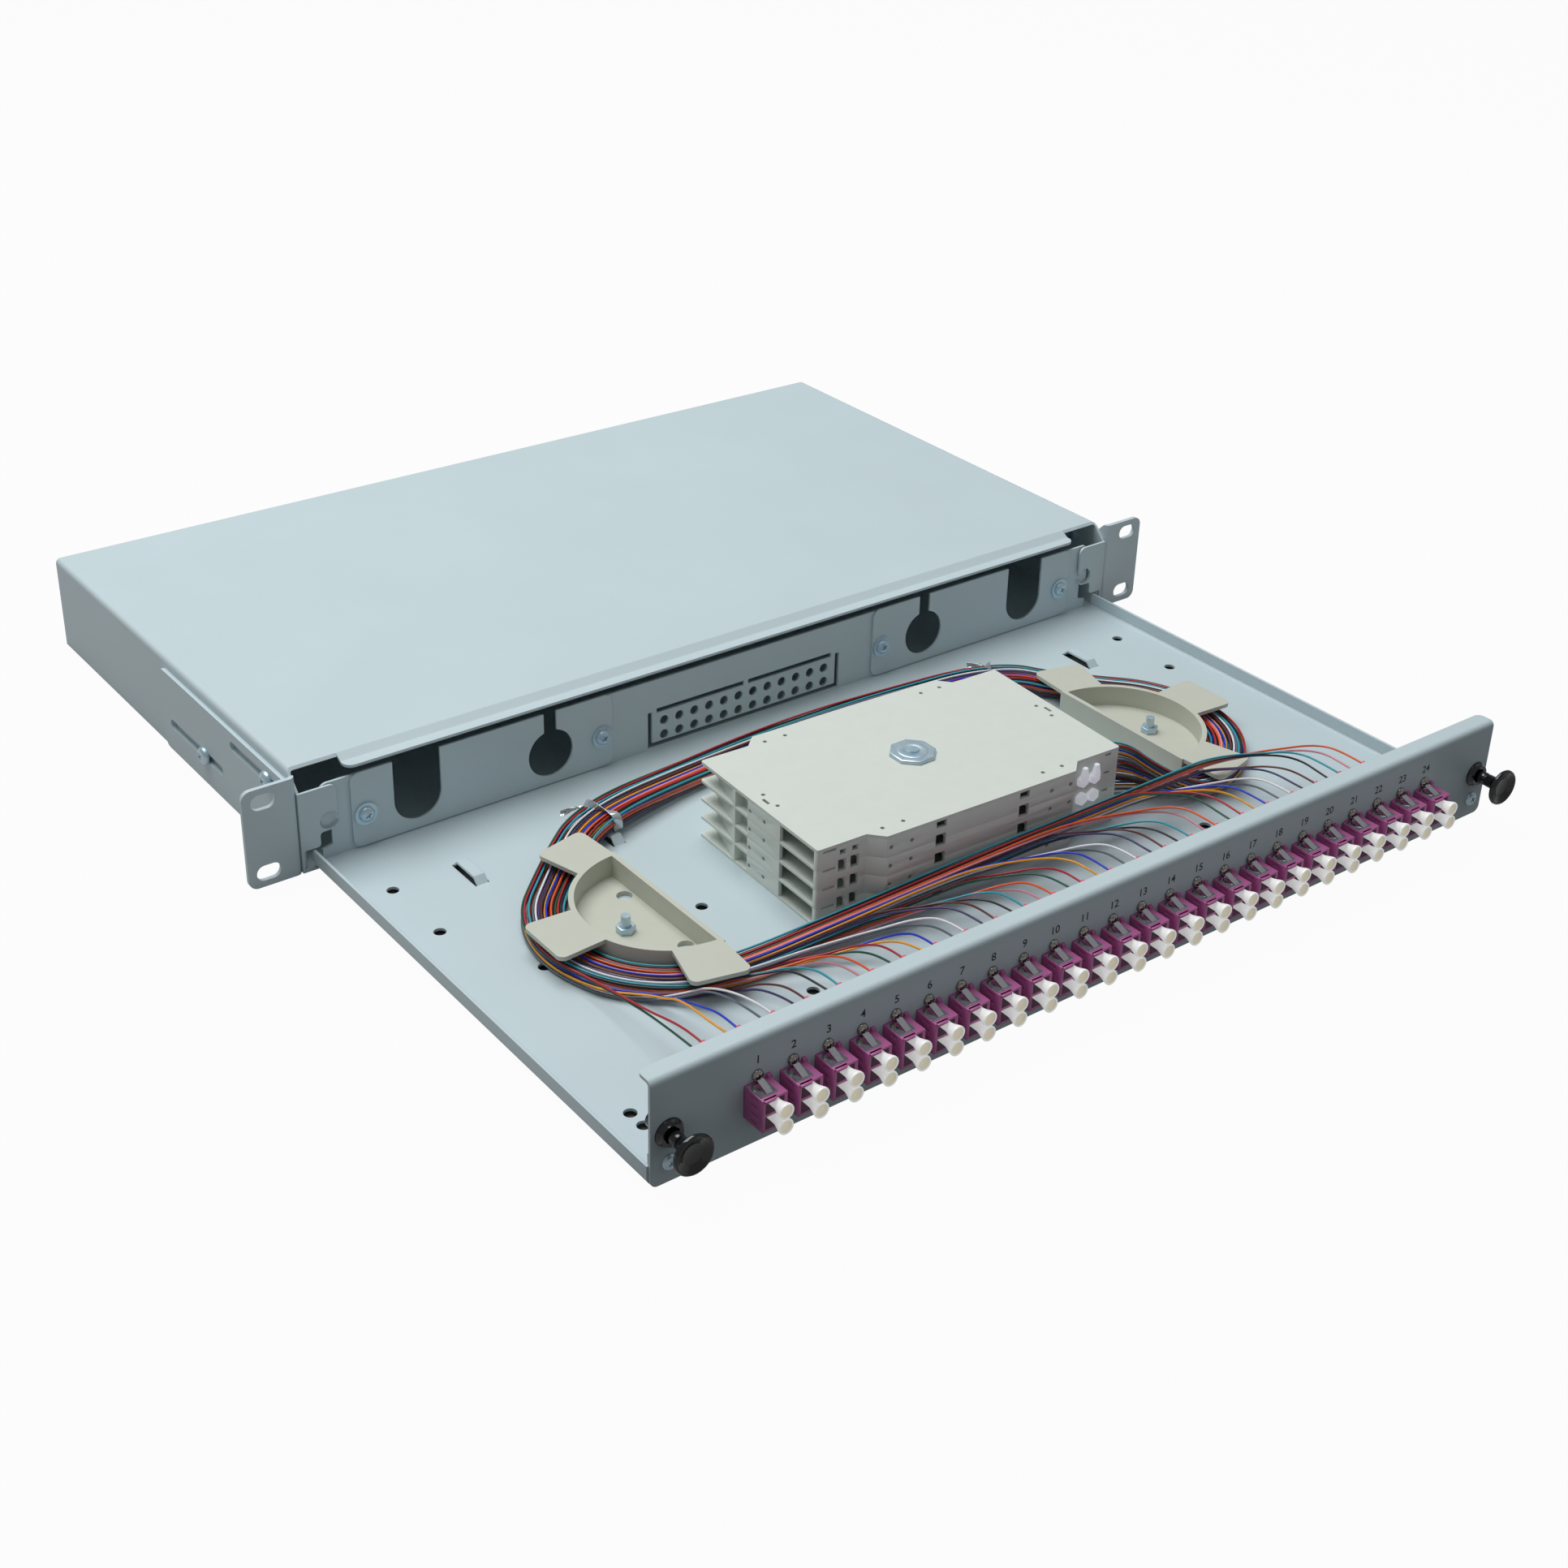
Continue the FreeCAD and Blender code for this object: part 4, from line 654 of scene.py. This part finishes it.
# %% [markdown]
# ## Cross-head screws
#
# All visible screws have a domed pan head with a cross recess. The recess is a small cross with sloping
# ends, cut from the head with a Boolean. One head is made for each size and copied. The adapter screws
# were driven by hand, so each stands at an angle of its own.

# %% A screw with a cross recess
def cross_screw(name, radius, height, shank_radius, length, material):
    dome = [(radius, 0), (radius, height * 0.3), (radius * 0.94, height * 0.55),
            (radius * 0.78, height * 0.8), (radius * 0.52, height * 0.95), (radius * 0.2, height)]
    screw = turned_piece(name, [(shank_radius, -length), (shank_radius, -0.01)] + dome)
    bars = []
    for angle in (0, 90):
        bar = primitive(bpy.ops.mesh.primitive_cube_add, size=1)
        bar.data.transform(Matrix.Diagonal((radius * 1.15 * MM, radius * 0.2 * MM, height * MM, 1)))
        for vertex in bar.data.vertices:
            if vertex.co.z < 0:
                vertex.co.x *= 0.45
        bar.data.transform(Matrix.Rotation(math.radians(angle + 30), 4, "Z"))
        bar.data.transform(Matrix.Translation((0, 0, height * 0.95 * MM)))
        bars.append(bar)
    for bar in bars:
        pick(screw)
        recess = screw.modifiers.new("recess", "BOOLEAN")
        recess.operation = "DIFFERENCE"
        recess.object = bar
        bpy.ops.object.modifier_apply(modifier="recess")
        bpy.data.objects.remove(bar)
    screw.data.materials.clear()
    screw.data.materials.append(material)
    smooth(screw)
    return screw


def screw_group(name, node, head, body, slot, places):
    """Copies of one screw at several places, as one piece that stands for a node."""
    screw = cross_screw("screw", *head)
    copies = [copied(screw, "screw", place) for place in places]
    bpy.data.objects.remove(screw)
    dressed(joined(name, copies), None, body, slot, node)
    print(name, "has", len(copies), "screws")


places = [at(adapter_x(i), panel_front, z, to_front @ Matrix.Rotation(i * 0.7 + z, 4, "Z"))
          for i in range(adapter_count) for z in (6.0, -12.0)]
screw_group("adapter_screw_heads", "adapter_screws", (2.3, 1.7, 1.1, 6.0, nickel_plate), "drawer",
            "bright_steel", places)

# %% Screws in the panel, the entry plates and the ears
panel_screw_x, panel_screw_z = 205.3, -13.5
places = [at(s * panel_screw_x, panel_front, panel_screw_z, to_front) for s in (-1, 1)]
screw_group("panel_screw_heads", "panel_screws", (3.2, 1.8, 1.5, 4.8, zinc_plate), "drawer",
            "zinc_plated_steel", places)
entry_plate_front, entry_screw_z = -0.1, -4.2
places = [at(s * x, entry_plate_front, entry_screw_z, to_front) for s in (-1, 1) for x in (77.0, 189.3)]
screw_group("entry_screw_heads", "entry_screws", (3.4, 1.9, 1.9, 5.5, zinc_plate), "drawer",
            "zinc_plated_steel", places)
ear_low, ear_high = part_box("ear_screws")
print("the solid ear screws reach from", [round(v * 1000, 2) for v in ear_low], "to",
      [round(v * 1000, 2) for v in ear_high])
ear_head_seat = 220.33
places = [at(s * ear_head_seat, y, z, Matrix.Rotation(math.radians(90 * s), 4, "Y"))
          for s in (-1, 1) for y, z in ((22.5, 11.0), (84.5, -6.5))]
screw_group("ear_screw_heads", "ear_screws", (4.0, 2.6, 2.0, 5.0, zinc_plate), "casing",
            "zinc_plated_steel", places)

# %% [markdown]
# ## Adapters
#
# A duplex adapter is a violet PBT block through the panel, with two ports, one above the other. The
# solid node has the ports, the flange behind the panel and the small lug. A copy of the first one is
# rounded, and gets what the solid leaves out: a lip along the top edge of its mouth and guide ribs in
# the ports. The faces inside the ports get a deeper violet. Part of it stands for the dark springs and
# sleeves of the real ports, which aren't modelled, and part of it is painted shade deep in the ports.
# Each of the others is a copy of it, moved along the row.

# %% Model one adapter and copy it
def block(x0, x1, y0, y1, z0, z1):
    piece = primitive(bpy.ops.mesh.primitive_cube_add, size=1)
    size = Matrix.Diagonal(((x1 - x0) * MM, (y1 - y0) * MM, (z1 - z0) * MM, 1))
    piece.data.transform(at((x0 + x1) / 2, (y0 + y1) / 2, (z0 + z1) / 2, size))
    return piece


first_x = adapter_x(0)
mouth_y, port_end_y = -247.7, -226
adapter = rounded("adapter_01", 0.16)
lip = block(first_x - 4.6, first_x - 0.2, -248.9, -247.0, adapter_top - 0.9, adapter_top)
for vertex in lip.data.vertices:
    if vertex.co.x > (first_x - 1) * MM and vertex.co.y > -248 * MM:
        vertex.co.x += 1.6 * MM
beveled(lip, 0.2)
ribs = []
for z in (-8.7, -2.5):
    rib = block(first_x - 3.9, first_x - 2.6, -246.6, -239.0, z, z + 0.9)
    for vertex in rib.data.vertices:
        if vertex.co.y < -245 * MM and vertex.co.z > (z + 0.5) * MM:
            vertex.co.z -= 0.8 * MM
    ribs.append(rib)
adapter = joined("adapter_01_moulded", [adapter, lip] + ribs)
smooth(adapter)
adapter.data.materials.clear()
adapter.data.materials.append(adapter_pbt)
# The deeper violet inside the ports is partly painted shade and partly the dark springs not modelled.
adapter.data.materials.append(port_shade_pbt)
for face in adapter.data.polygons:
    middle = face.center / MM
    within = abs(middle.x - first_x) < 4.5 and -8.9 < middle.z < 2.9
    face.material_index = 1 if within and mouth_y < middle.y < port_end_y else 0
for i in range(1, adapter_count):
    copy = copied(adapter, f"adapter_{i + 1:02d}_moulded", at(adapter_pitch * i, 0, 0))
    dressed(copy, None, "drawer", "violet_plastic", f"adapter_{i + 1:02d}")
dressed(adapter, None, "drawer", "violet_plastic", "adapter_01")
print("one adapter has", len(adapter.data.polygons), "faces, and there are", adapter_count)

# %% [markdown]
# ## Spring clips
#
# On top of each adapter sits a clip stamped from spring strip 0.35 mm thick: a frame with a tongue that
# rises towards the panel. It is cut as a press tool would do it. A flat plate is bisected along the cut
# lines, the waste is deleted, the tongue's free end is lifted, and Solidify gives the strip its
# thickness. The waste is a slot on each side of the tongue and one past its free end.

# %% Stamp one clip and copy it
slot_left, tongue_left, tongue_right, slot_right = -2.2, -1.8, 0.9, 1.3
tongue_root, tongue_end, slot_end = -2.9, 2.6, 3.1
tongue_lift = 2.1
clip_width, clip_length, clip_aside, clip_thickness = 7.2, 7.4, -1.2, 0.35
clip_middle_y = -242.6


def cut_line(value, axis):
    normal = (1, 0, 0) if axis == "x" else (0, 1, 0)
    bpy.ops.mesh.select_all(action="SELECT")
    bpy.ops.mesh.bisect(plane_co=[value * MM * n for n in normal], plane_no=normal)


def select_faces(piece, wanted):
    """In edit mode, selects the faces whose middle (in millimetres) is wanted, and no others."""
    bpy.ops.mesh.select_mode(type="FACE")
    bpy.ops.mesh.select_all(action="DESELECT")
    bpy.ops.object.mode_set(mode="OBJECT")
    for face in piece.data.polygons:
        face.select = wanted(*(face.center / MM))
    bpy.ops.object.mode_set(mode="EDIT")


def is_waste(x, y, z):
    beside_tongue = slot_left < x < tongue_left or tongue_right < x < slot_right
    past_tongue = tongue_left < x < tongue_right and tongue_end < y < slot_end
    return (beside_tongue and tongue_root < y < slot_end) or past_tongue


clip = primitive(bpy.ops.mesh.primitive_plane_add, size=1)
clip.data.transform(at(clip_aside, 0, 0, Matrix.Diagonal((clip_width * MM, clip_length * MM, 1, 1))))
bpy.ops.object.mode_set(mode="EDIT")
for x in (slot_left, tongue_left, tongue_right, slot_right):
    cut_line(x, "x")
for y in (tongue_root, tongue_end, slot_end):
    cut_line(y, "y")
select_faces(clip, is_waste)
bpy.ops.mesh.delete(type="FACE")
bpy.ops.object.mode_set(mode="OBJECT")
for vertex in clip.data.vertices:
    x, y, z = vertex.co / MM
    if abs(y - tongue_end) < 0.01 and tongue_left - 0.05 < x < tongue_right + 0.05:
        vertex.co.z += tongue_lift * MM
pick(clip)
strip = clip.modifiers.new("strip", "SOLIDIFY")
strip.thickness = clip_thickness * MM
strip.offset = 1
bpy.ops.object.modifier_apply(modifier="strip")
beveled(clip, 0.07, angle=30, segments=1)
clips = [copied(clip, "clip", at(adapter_x(i), clip_middle_y, adapter_top))
         for i in range(adapter_count)]
bpy.data.objects.remove(clip)
clips = dressed(joined("spring_clips", clips), spring_strip, "drawer", "bright_steel", "adapter_clips")
print("clips:", adapter_count, "with", len(clips.data.polygons), "faces in all")

# %% [markdown]
# ## Dust caps
#
# Each port is closed by a hollow polyethylene cap. Its mouth is flared so that fingers can pull it, and
# one can look into its bore, which is why its wall and the shaded bore are modelled. The bore's faces
# are the ones that look towards the axis. They get a material of their own, warmer because light
# reaches them through the wall.

# %% Turn one cap and copy it
cap_aside, cap_seat_y, cap_spread = 0.9, -248.0, 3.1
bore_floor, rim_edge = 0.95, 5.15
stations = [(1.8, -6.5), (1.85, 0.3), (2.1, 1.6), (2.45, 2.7), (2.8, 3.7), (3.0, 4.4), (3.05, 5.0),
            (2.95, 5.3), (2.55, 5.3), (2.4, 5.1), (2.1, 4.2), (1.5, 1.0)]
cap = turned_piece("dust_cap", stations, sides=28)
cap.data.materials.append(cap_polyethylene)
cap.data.materials.append(cap_bore)
for face in cap.data.polygons:
    middle = face.center
    faces_axis = face.normal.xy.dot(middle.xy) < 0 or math.hypot(middle.x, middle.y) < 0.1 * MM
    if faces_axis and bore_floor * MM < middle.z < rim_edge * MM:
        face.material_index = 1
caps = [copied(cap, "cap", at(adapter_x(i) + cap_aside, cap_seat_y, connector_z + s * cap_spread,
                              to_front)) for i in range(adapter_count) for s in (-1, 1)]
bpy.data.objects.remove(cap)
dressed(joined("hollow_dust_caps", caps), None, "drawer", "white_plastic", "dust_caps")
print("dust caps:", len(caps))

# %% [markdown]
# ## Connectors and their boots
#
# Behind the adapters sit twin connectors in the same violet, each with two soft pink boots that keep
# the fibre from kinking. The connector's body is a rounded copy of the solid, whose plain boots are
# deleted. The new boots are turned with the five ribs that let a real boot bend, and rise a little with
# the pull of their fibres.

# %% Connectors and boots
connectors = rounded("lc_connectors", 0.12)
pick(connectors)
bpy.ops.object.mode_set(mode="EDIT")
select_faces(connectors, lambda x, y, z: y > connector_back_y + 0.05)
bpy.ops.mesh.delete(type="FACE")
bpy.ops.object.mode_set(mode="OBJECT")
connectors.data.materials.clear()
connectors.data.materials.append(adapter_pbt)

stations = [(1.2, -0.3), (1.75, -0.2), (1.75, 0.7)]
for k in range(5):
    foot, rib = 0.8 + 1.2 * k, 1.72 - 0.06 * k
    stations += [(rib - 0.35, foot), (rib - 0.35, foot + 0.5), (rib, foot + 0.6), (rib, foot + 1.1)]
stations += [(1.25, 6.8), (1.25, 8.0), (1.1, 8.3)]
boot = turned_piece("boot", stations, sides=14)
boot.data.materials.append(boot_elastomer)
to_back = Matrix.Rotation(math.radians(-90), 4, "X")
tilt = Matrix.Rotation(math.atan(lead_rise / lead_straight), 4, "X")
boots = [copied(boot, "boot", at(adapter_x(i), connector_back_y, connector_z + s * boot_gap / MM,
                                 tilt @ to_back)) for i in range(adapter_count) for s in (-1, 1)]
bpy.data.objects.remove(boot)
dressed(joined("lc_connectors_with_boots", [connectors] + boots), None, "drawer",
        "violet_connector_plastic", "lc_connectors")
print("connectors have", len(connectors.data.polygons), "faces, with", len(boots), "boots")

# %% [markdown]
# ## Push latches
#
# A black nylon grommet is snapped into each end of the panel, and a plunger with a dished knob spreads
# it to lock the drawer. Both are turned, and polished nylon mirrors the room in small sharp highlights.
# The grommet's bore has room for the plunger's neck, which goes 7 mm in when the knob is pushed.

# %% Grommets and plungers
latch_x, latch_z = 205.5, -1.5
stations = [(3.3, -9.0), (3.3, -0.01), (5.5, 0), (5.5, 0.5), (5.35, 0.9), (4.9, 1.3), (4.6, 1.9),
            (4.35, 2.6), (4.0, 2.6), (3.1, 2.5), (2.95, 2.3), (2.95, -4.6), (2.0, -5.0), (2.0, -8.8)]
grommet = turned_piece("grommet", stations)
stations = [(1.8, -1.5), (1.8, 3.0), (2.0, 3.2), (2.7, 3.4), (2.7, 6.0), (2.5, 6.3), (2.5, 6.7),
            (2.7, 7.0), (2.7, 9.2), (3.2, 10.4), (4.4, 11.9), (6.6, 12.8), (7.4, 13.1), (7.8, 13.8),
            (7.7, 14.7), (7.3, 15.2), (6.9, 15.3), (6.4, 15.1), (5.6, 14.4), (4.6, 14.2), (4.3, 13.9),
            (3.4, 13.6), (0.4, 13.5)]
plunger = turned_piece("plunger", stations, sides=48)
grommets = [copied(grommet, "grommet", at(s * latch_x, panel_front, latch_z, to_front)) for s in (-1, 1)]
dressed(joined("latch_grommet_pair", grommets), latch_nylon, "drawer", "black_nylon", "latch_grommets")
for s, side in ((-1, "left"), (1, "right")):
    knob = copied(plunger, "latch_knob_" + side, at(s * latch_x, panel_front, latch_z, to_front))
    dressed(knob, latch_nylon, "latch_" + side, "black_nylon", "latch_plunger_" + side)
bpy.data.objects.remove(grommet)
bpy.data.objects.remove(plunger)
print("latch knobs reach", round(min(v.co.y for v in knob.data.vertices) * 1000, 1), "mm")

# %% [markdown]
# ## Nuts and the plugs at the corner
#
# The octagonal nut holds the cassettes on their stud. It and the guide nuts are rounded copies of the
# solids in zinc plate. Six natural nylon plugs sit in the cassettes' seams at one corner. Each has a
# rounded hexagonal head, and the upper two have a cone that points upward.

# %% Nuts and plugs
stack_nut = flat_faces_flat(rounded("stack_nut", 0.35, segments=3))
nut_top = tray_top + 4 * cassette_pitch + 3.0
stations = [(6.5, -0.3), (6.5, 0.08), (6.3, 0.2), (4.2, 0.2), (3.9, 0.05), (0.5, 0.05)]
collar = turned_piece("collar", stations, sides=48)
collar.data.transform(at(0, fixing_line_y, nut_top))
dressed(joined("stack_nut_moulded", [stack_nut, collar]), zinc_plate, "drawer", "zinc_plated_steel",
        "stack_nut")
dressed(rounded("guide_nuts", 0.2), zinc_plate, "drawer", "zinc_plated_steel", "guide_nuts")

stack_place = at(0, fixing_line_y, 0) @ Matrix.Rotation(math.radians(-2.4), 4, "Z")
stack_face_y = -40.8
cone_y = stack_face_y - 1.8
plug_stations = [(1.2, -1.6), (1.2, -0.01), (2.8, 0), (3.05, 0.35), (3.05, 1.6), (2.6, 2.1), (1.5, 2.25)]
cone_stations = [(1.8, 1.0), (1.75, 3.0), (1.35, 4.8), (1.15, 6.4), (0.8, 6.7)]
plugs = []
for level in range(1, 4):
    for x in (56.4, 62.6):
        plug = turned_piece("plug", plug_stations, sides=6)
        beveled(plug, 0.35, angle=25, segments=2)
        seam = tray_top + cassette_pitch * level
        plug.data.transform(at(x, stack_face_y, seam, to_front))
        if level == 3:
            cone = turned_piece("cone", cone_stations, sides=14)
            cone.data.transform(at(x, cone_y, seam))
            plug = joined("plug", [plug, cone])
        smooth(plug, 40)
        plugs.append(plug)
print("plugs at the corner:", len(plugs))
plugs = joined("corner_plugs", plugs)
plugs.data.transform(stack_place)
dressed(plugs, plug_nylon, "drawer", "white_plastic", "cassette_links")

# %% [markdown]
# ## Twist ties
#
# Over each inner bridge, a clear twist strip holds the bundle. It is a flat ribbon that turns over
# itself on its way round, so it catches the light in separate flashes, and it is drawn partly metallic
# for them. A curve can do this: extruded sideways it becomes a ribbon, and the tilt of its points
# twists it. The ribbon is then made a mesh.

# %% Twist ties
def ribbon(name, points, tilts, closed, width):
    curve = bpy.data.curves.new(name, "CURVE")
    curve.resolution_u = 6
    curve.extrude = width / 2 * MM
    curve.bevel_depth = 0.12 * MM
    curve.bevel_resolution = 1
    spline = add_spline(curve, "NURBS", [Vector(place) * MM for place in points])
    for point, tilt in zip(spline.points, tilts):
        point.tilt = tilt
    spline.order_u = 3
    spline.use_cyclic_u = closed
    spline.use_endpoint_u = not closed
    piece = linked(name, mesh_of(curve))
    smooth(piece, 50)
    return piece


twist_strip = moulded("polyester_clear_foil_strip", "dfe6ea", 0.1, 0.01, IOR=1.57,
                      Transmission_Weight=0.3, Metallic=0.5, Alpha=0.95)
loop = [(-9.0, -0.6), (-9.3, 3.0), (-8.0, 6.2), (-4.0, 6.5), (0, 6.4), (4.0, 6.5), (8.0, 6.2),
        (9.3, 3.0), (9.0, -0.6), (6.0, -1.4), (0, -1.5), (-6.0, -1.4)]
band_width, tail_width = 3.2, 1.6
tilts = [0.2, 0.6, 1.2, 1.9, 2.6, 3.3, 3.9, 4.6, 5.2, 5.7, 6.0, 6.2]
ties = []
for side, x, y, turn in (("left", -106.25, -43.5, 19.6), ("right", 108.5, -41.35, -24.8)):
    place = at(x, y, bundle_on_bridge, Matrix.Rotation(math.radians(turn), 4, "Z"))
    band = ribbon("tie_band", [(0.25 * math.sin(u), u, v) for u, v in loop], tilts, True, band_width)
    tails = []
    for e in (0.0, 1.6):
        points = [(0, 9.2, 3.0), (-1.0, 11.0, 3.6), (-3.5, 13.5, 2.4), (-7.5, 15.0, 1.0 + e)]
        tails.append(ribbon("tie_tail", points, [0.2, 1.6 + e, 3.4, 4.6 - e], False, tail_width))
    tie = joined("twist_tie_" + side, [band] + tails)
    tie.data.transform(place)
    ties.append(dressed(tie, twist_strip, "drawer", "white_plastic", "twist_ties"))
print("twist ties:", len(ties))

# %% [markdown]
# ## Numbers
#
# The ports are numbered 1 to 24 in dark grey screen-printing ink above the adapters, with digits 3.3 mm
# high. Ink is a layer a few hundredths of a millimetre thick, so the text is a flat mesh that stands
# that much clear of the paint, and the two faces don't fight.

# %% Print the numbers
def printing_ink(name, colour):
    material, tree, shader, place = start_material(name, Roughness=0.55, IOR=1.5)
    cover = add(tree, "TexNoise", Vector=place, Scale=1 / (0.3 * MM), Detail=2.0)
    shade = add(tree, "ValToRGB", Fac=cover.outputs["Fac"])
    for stop, position, level in zip(shade.color_ramp.elements, (0.3, 0.75), (1, 1.5)):
        stop.position = position
        stop.color = [c * level for c in linear(colour)[:3]] + [1]
    feed(tree, shader, Base_Color=shade.outputs["Color"])
    return material


ink_thickness = 0.04
number_foot_z = 10.6
numbers = []
for i in range(adapter_count):
    letters = bpy.data.curves.new("number", "FONT")
    letters.body = str(i + 1)
    letters.align_x = "CENTER"
    letters.size = 4.6 * MM
    letters.offset = 0.06 * MM
    number = linked("number", mesh_of(letters))
    number.data.transform(at(adapter_x(i) + 0.3, panel_front - ink_thickness, number_foot_z, to_front))
    numbers.append(number)
heights = [vertex.co.z for vertex in numbers[7].data.vertices]
ink = printing_ink("screen_printing_ink_dark_grey", "15181a")
dressed(joined("port_numbers", numbers), ink, "drawer", "black_nylon")
print("digits are", round((max(heights) - min(heights)) * 1000, 2), "mm high")

# %% [markdown]
# ## Floor and light
#
# The box stands on a plain pale floor. To the camera the floor has the white of the paper, through Light
# Path's camera ray. To the lamps it is matt: pale beside the box and dark in front of the drawer, since
# in the photograph the drawer's front gets hardly any light from below. Inside the outline of the open
# box it is dark too wherever something lies less than 10 mm above it, or it would shine through the
# tray's holes.

# %% Floor
floor_z = -22.3
outline_half_x, outline_half_y, outline_middle_y = 208, 232, 5
cover_reach = 10
dark_until_y, pale_from_y = -250, -200
pale, floor_shade_under_box, darkest = 0.34, 0.12, 0.04
camera_glow, mirror_glow = 0.96, 0.35
floor = primitive(bpy.ops.mesh.primitive_plane_add, size=8, location=(0, 0, 0))
floor.name = "floor"
floor.data.transform(Matrix.Translation((0, 0, floor_z * MM)))
material, tree, shader, place = start_material("pale_floor", Roughness=0.9)
parts = add(tree, "SeparateXYZ", Vector=place)
aside = add(tree, "Math", {"operation": "ABSOLUTE"}, i0=parts.outputs["X"])
beyond_x = add(tree, "Math", {"operation": "GREATER_THAN"}, i0=aside.outputs[0], i1=outline_half_x * MM)
along = add(tree, "Math", {"operation": "SUBTRACT"}, i0=parts.outputs["Y"], i1=outline_middle_y * MM)
ahead = add(tree, "Math", {"operation": "ABSOLUTE"}, i0=along.outputs[0])
beyond_y = add(tree, "Math", {"operation": "GREATER_THAN"}, i0=ahead.outputs[0], i1=outline_half_y * MM)
outside = add(tree, "Math", {"operation": "MAXIMUM"}, i0=beyond_x.outputs[0], i1=beyond_y.outputs[0])
# Ambient occlusion paints shade on the floor wherever something lies less than 10 mm above it.
cover = add(tree, "AmbientOcclusion", {"samples": 8}, Distance=cover_reach * MM)
bare = add(tree, "MapRange", Value=cover.outputs["AO"], From_Min=0.75, From_Max=0.9)
shown = add(tree, "Math", {"operation": "MAXIMUM"}, i0=outside.outputs[0], i1=bare.outputs["Result"])
paths = add(tree, "LightPath")
to_camera, to_mirror = paths.outputs["Is Camera Ray"], paths.outputs["Is Glossy Ray"]
behind = add(tree, "MapRange", Value=parts.outputs["Y"], From_Min=dark_until_y * MM,
             From_Max=pale_from_y * MM, To_Min=darkest)
paper = add(tree, "Math", {"operation": "MAXIMUM"}, i0=behind.outputs["Result"], i1=to_camera)
tint = add(tree, "Math", {"operation": "MULTIPLY"}, i0=paper.outputs[0], i1=pale)
tone = add(tree, "MapRange", Value=shown.outputs[0], To_Min=floor_shade_under_box, To_Max=tint.outputs[0])
feed(tree, shader, Base_Color=tone.outputs["Result"])
to_eye = add(tree, "Math", {"operation": "MULTIPLY"}, i0=to_camera, i1=camera_glow)
mirrored = add(tree, "Math", {"operation": "MULTIPLY"}, i0=to_mirror, i1=mirror_glow)
seen = add(tree, "Math", {"operation": "MAXIMUM"}, i0=to_eye.outputs[0], i1=mirrored.outputs[0])
share = add(tree, "Math", {"operation": "MULTIPLY"}, i0=seen.outputs[0], i1=shown.outputs[0])
glow = add(tree, "Emission", Color=(1, 1, 1, 1), Strength=1.0)
blend = add(tree, "MixShader", i0=share.outputs[0], i1=shader.outputs[0], i2=glow.outputs[0])
tree.links.new(blend.outputs[0], tree.nodes["Material Output"].inputs["Surface"])
floor.data.materials.append(material)
print("floor at", floor_z, "mm")

# %% [markdown]
# The light is a large softbox above and behind, and a much weaker one in front from the right, in a dim,
# slightly cool room. The front face of the drawer gets little light and darkens towards its foot, as in
# the photograph.

# %% World and lamps
world = bpy.data.worlds.new("studio")
bpy.context.scene.world = world
world.use_nodes = True
sky = world.node_tree
background = sky.nodes["Background"]
background.inputs["Color"].default_value = (0.96, 0.98, 1.0, 1)
sky_paths = add(sky, "LightPath")
sky_seen = add(sky, "Math", {"operation": "MAXIMUM"}, i0=sky_paths.outputs["Is Camera Ray"], i1=0.27)
sky.links.new(sky_seen.outputs[0], background.inputs["Strength"])


def softbox(name, place, target, size, power):
    lamp = bpy.data.lights.new(name, "AREA")
    lamp.energy = power
    lamp.size = size
    light = linked(name, lamp)
    light.location = place
    light.rotation_euler = (Vector(target) - Vector(place)).to_track_quat("-Z", "Y").to_euler()


softbox("top", (-0.2, 0.5, 1.6), (0, 0, 0), 1.4, 28)
softbox("front", (1.1, -1.0, 1.2), (0, -0.1, 0), 0.9, 0.8)
bpy.context.scene.view_settings.view_transform = "Standard"
print("two softboxes and a dim room")
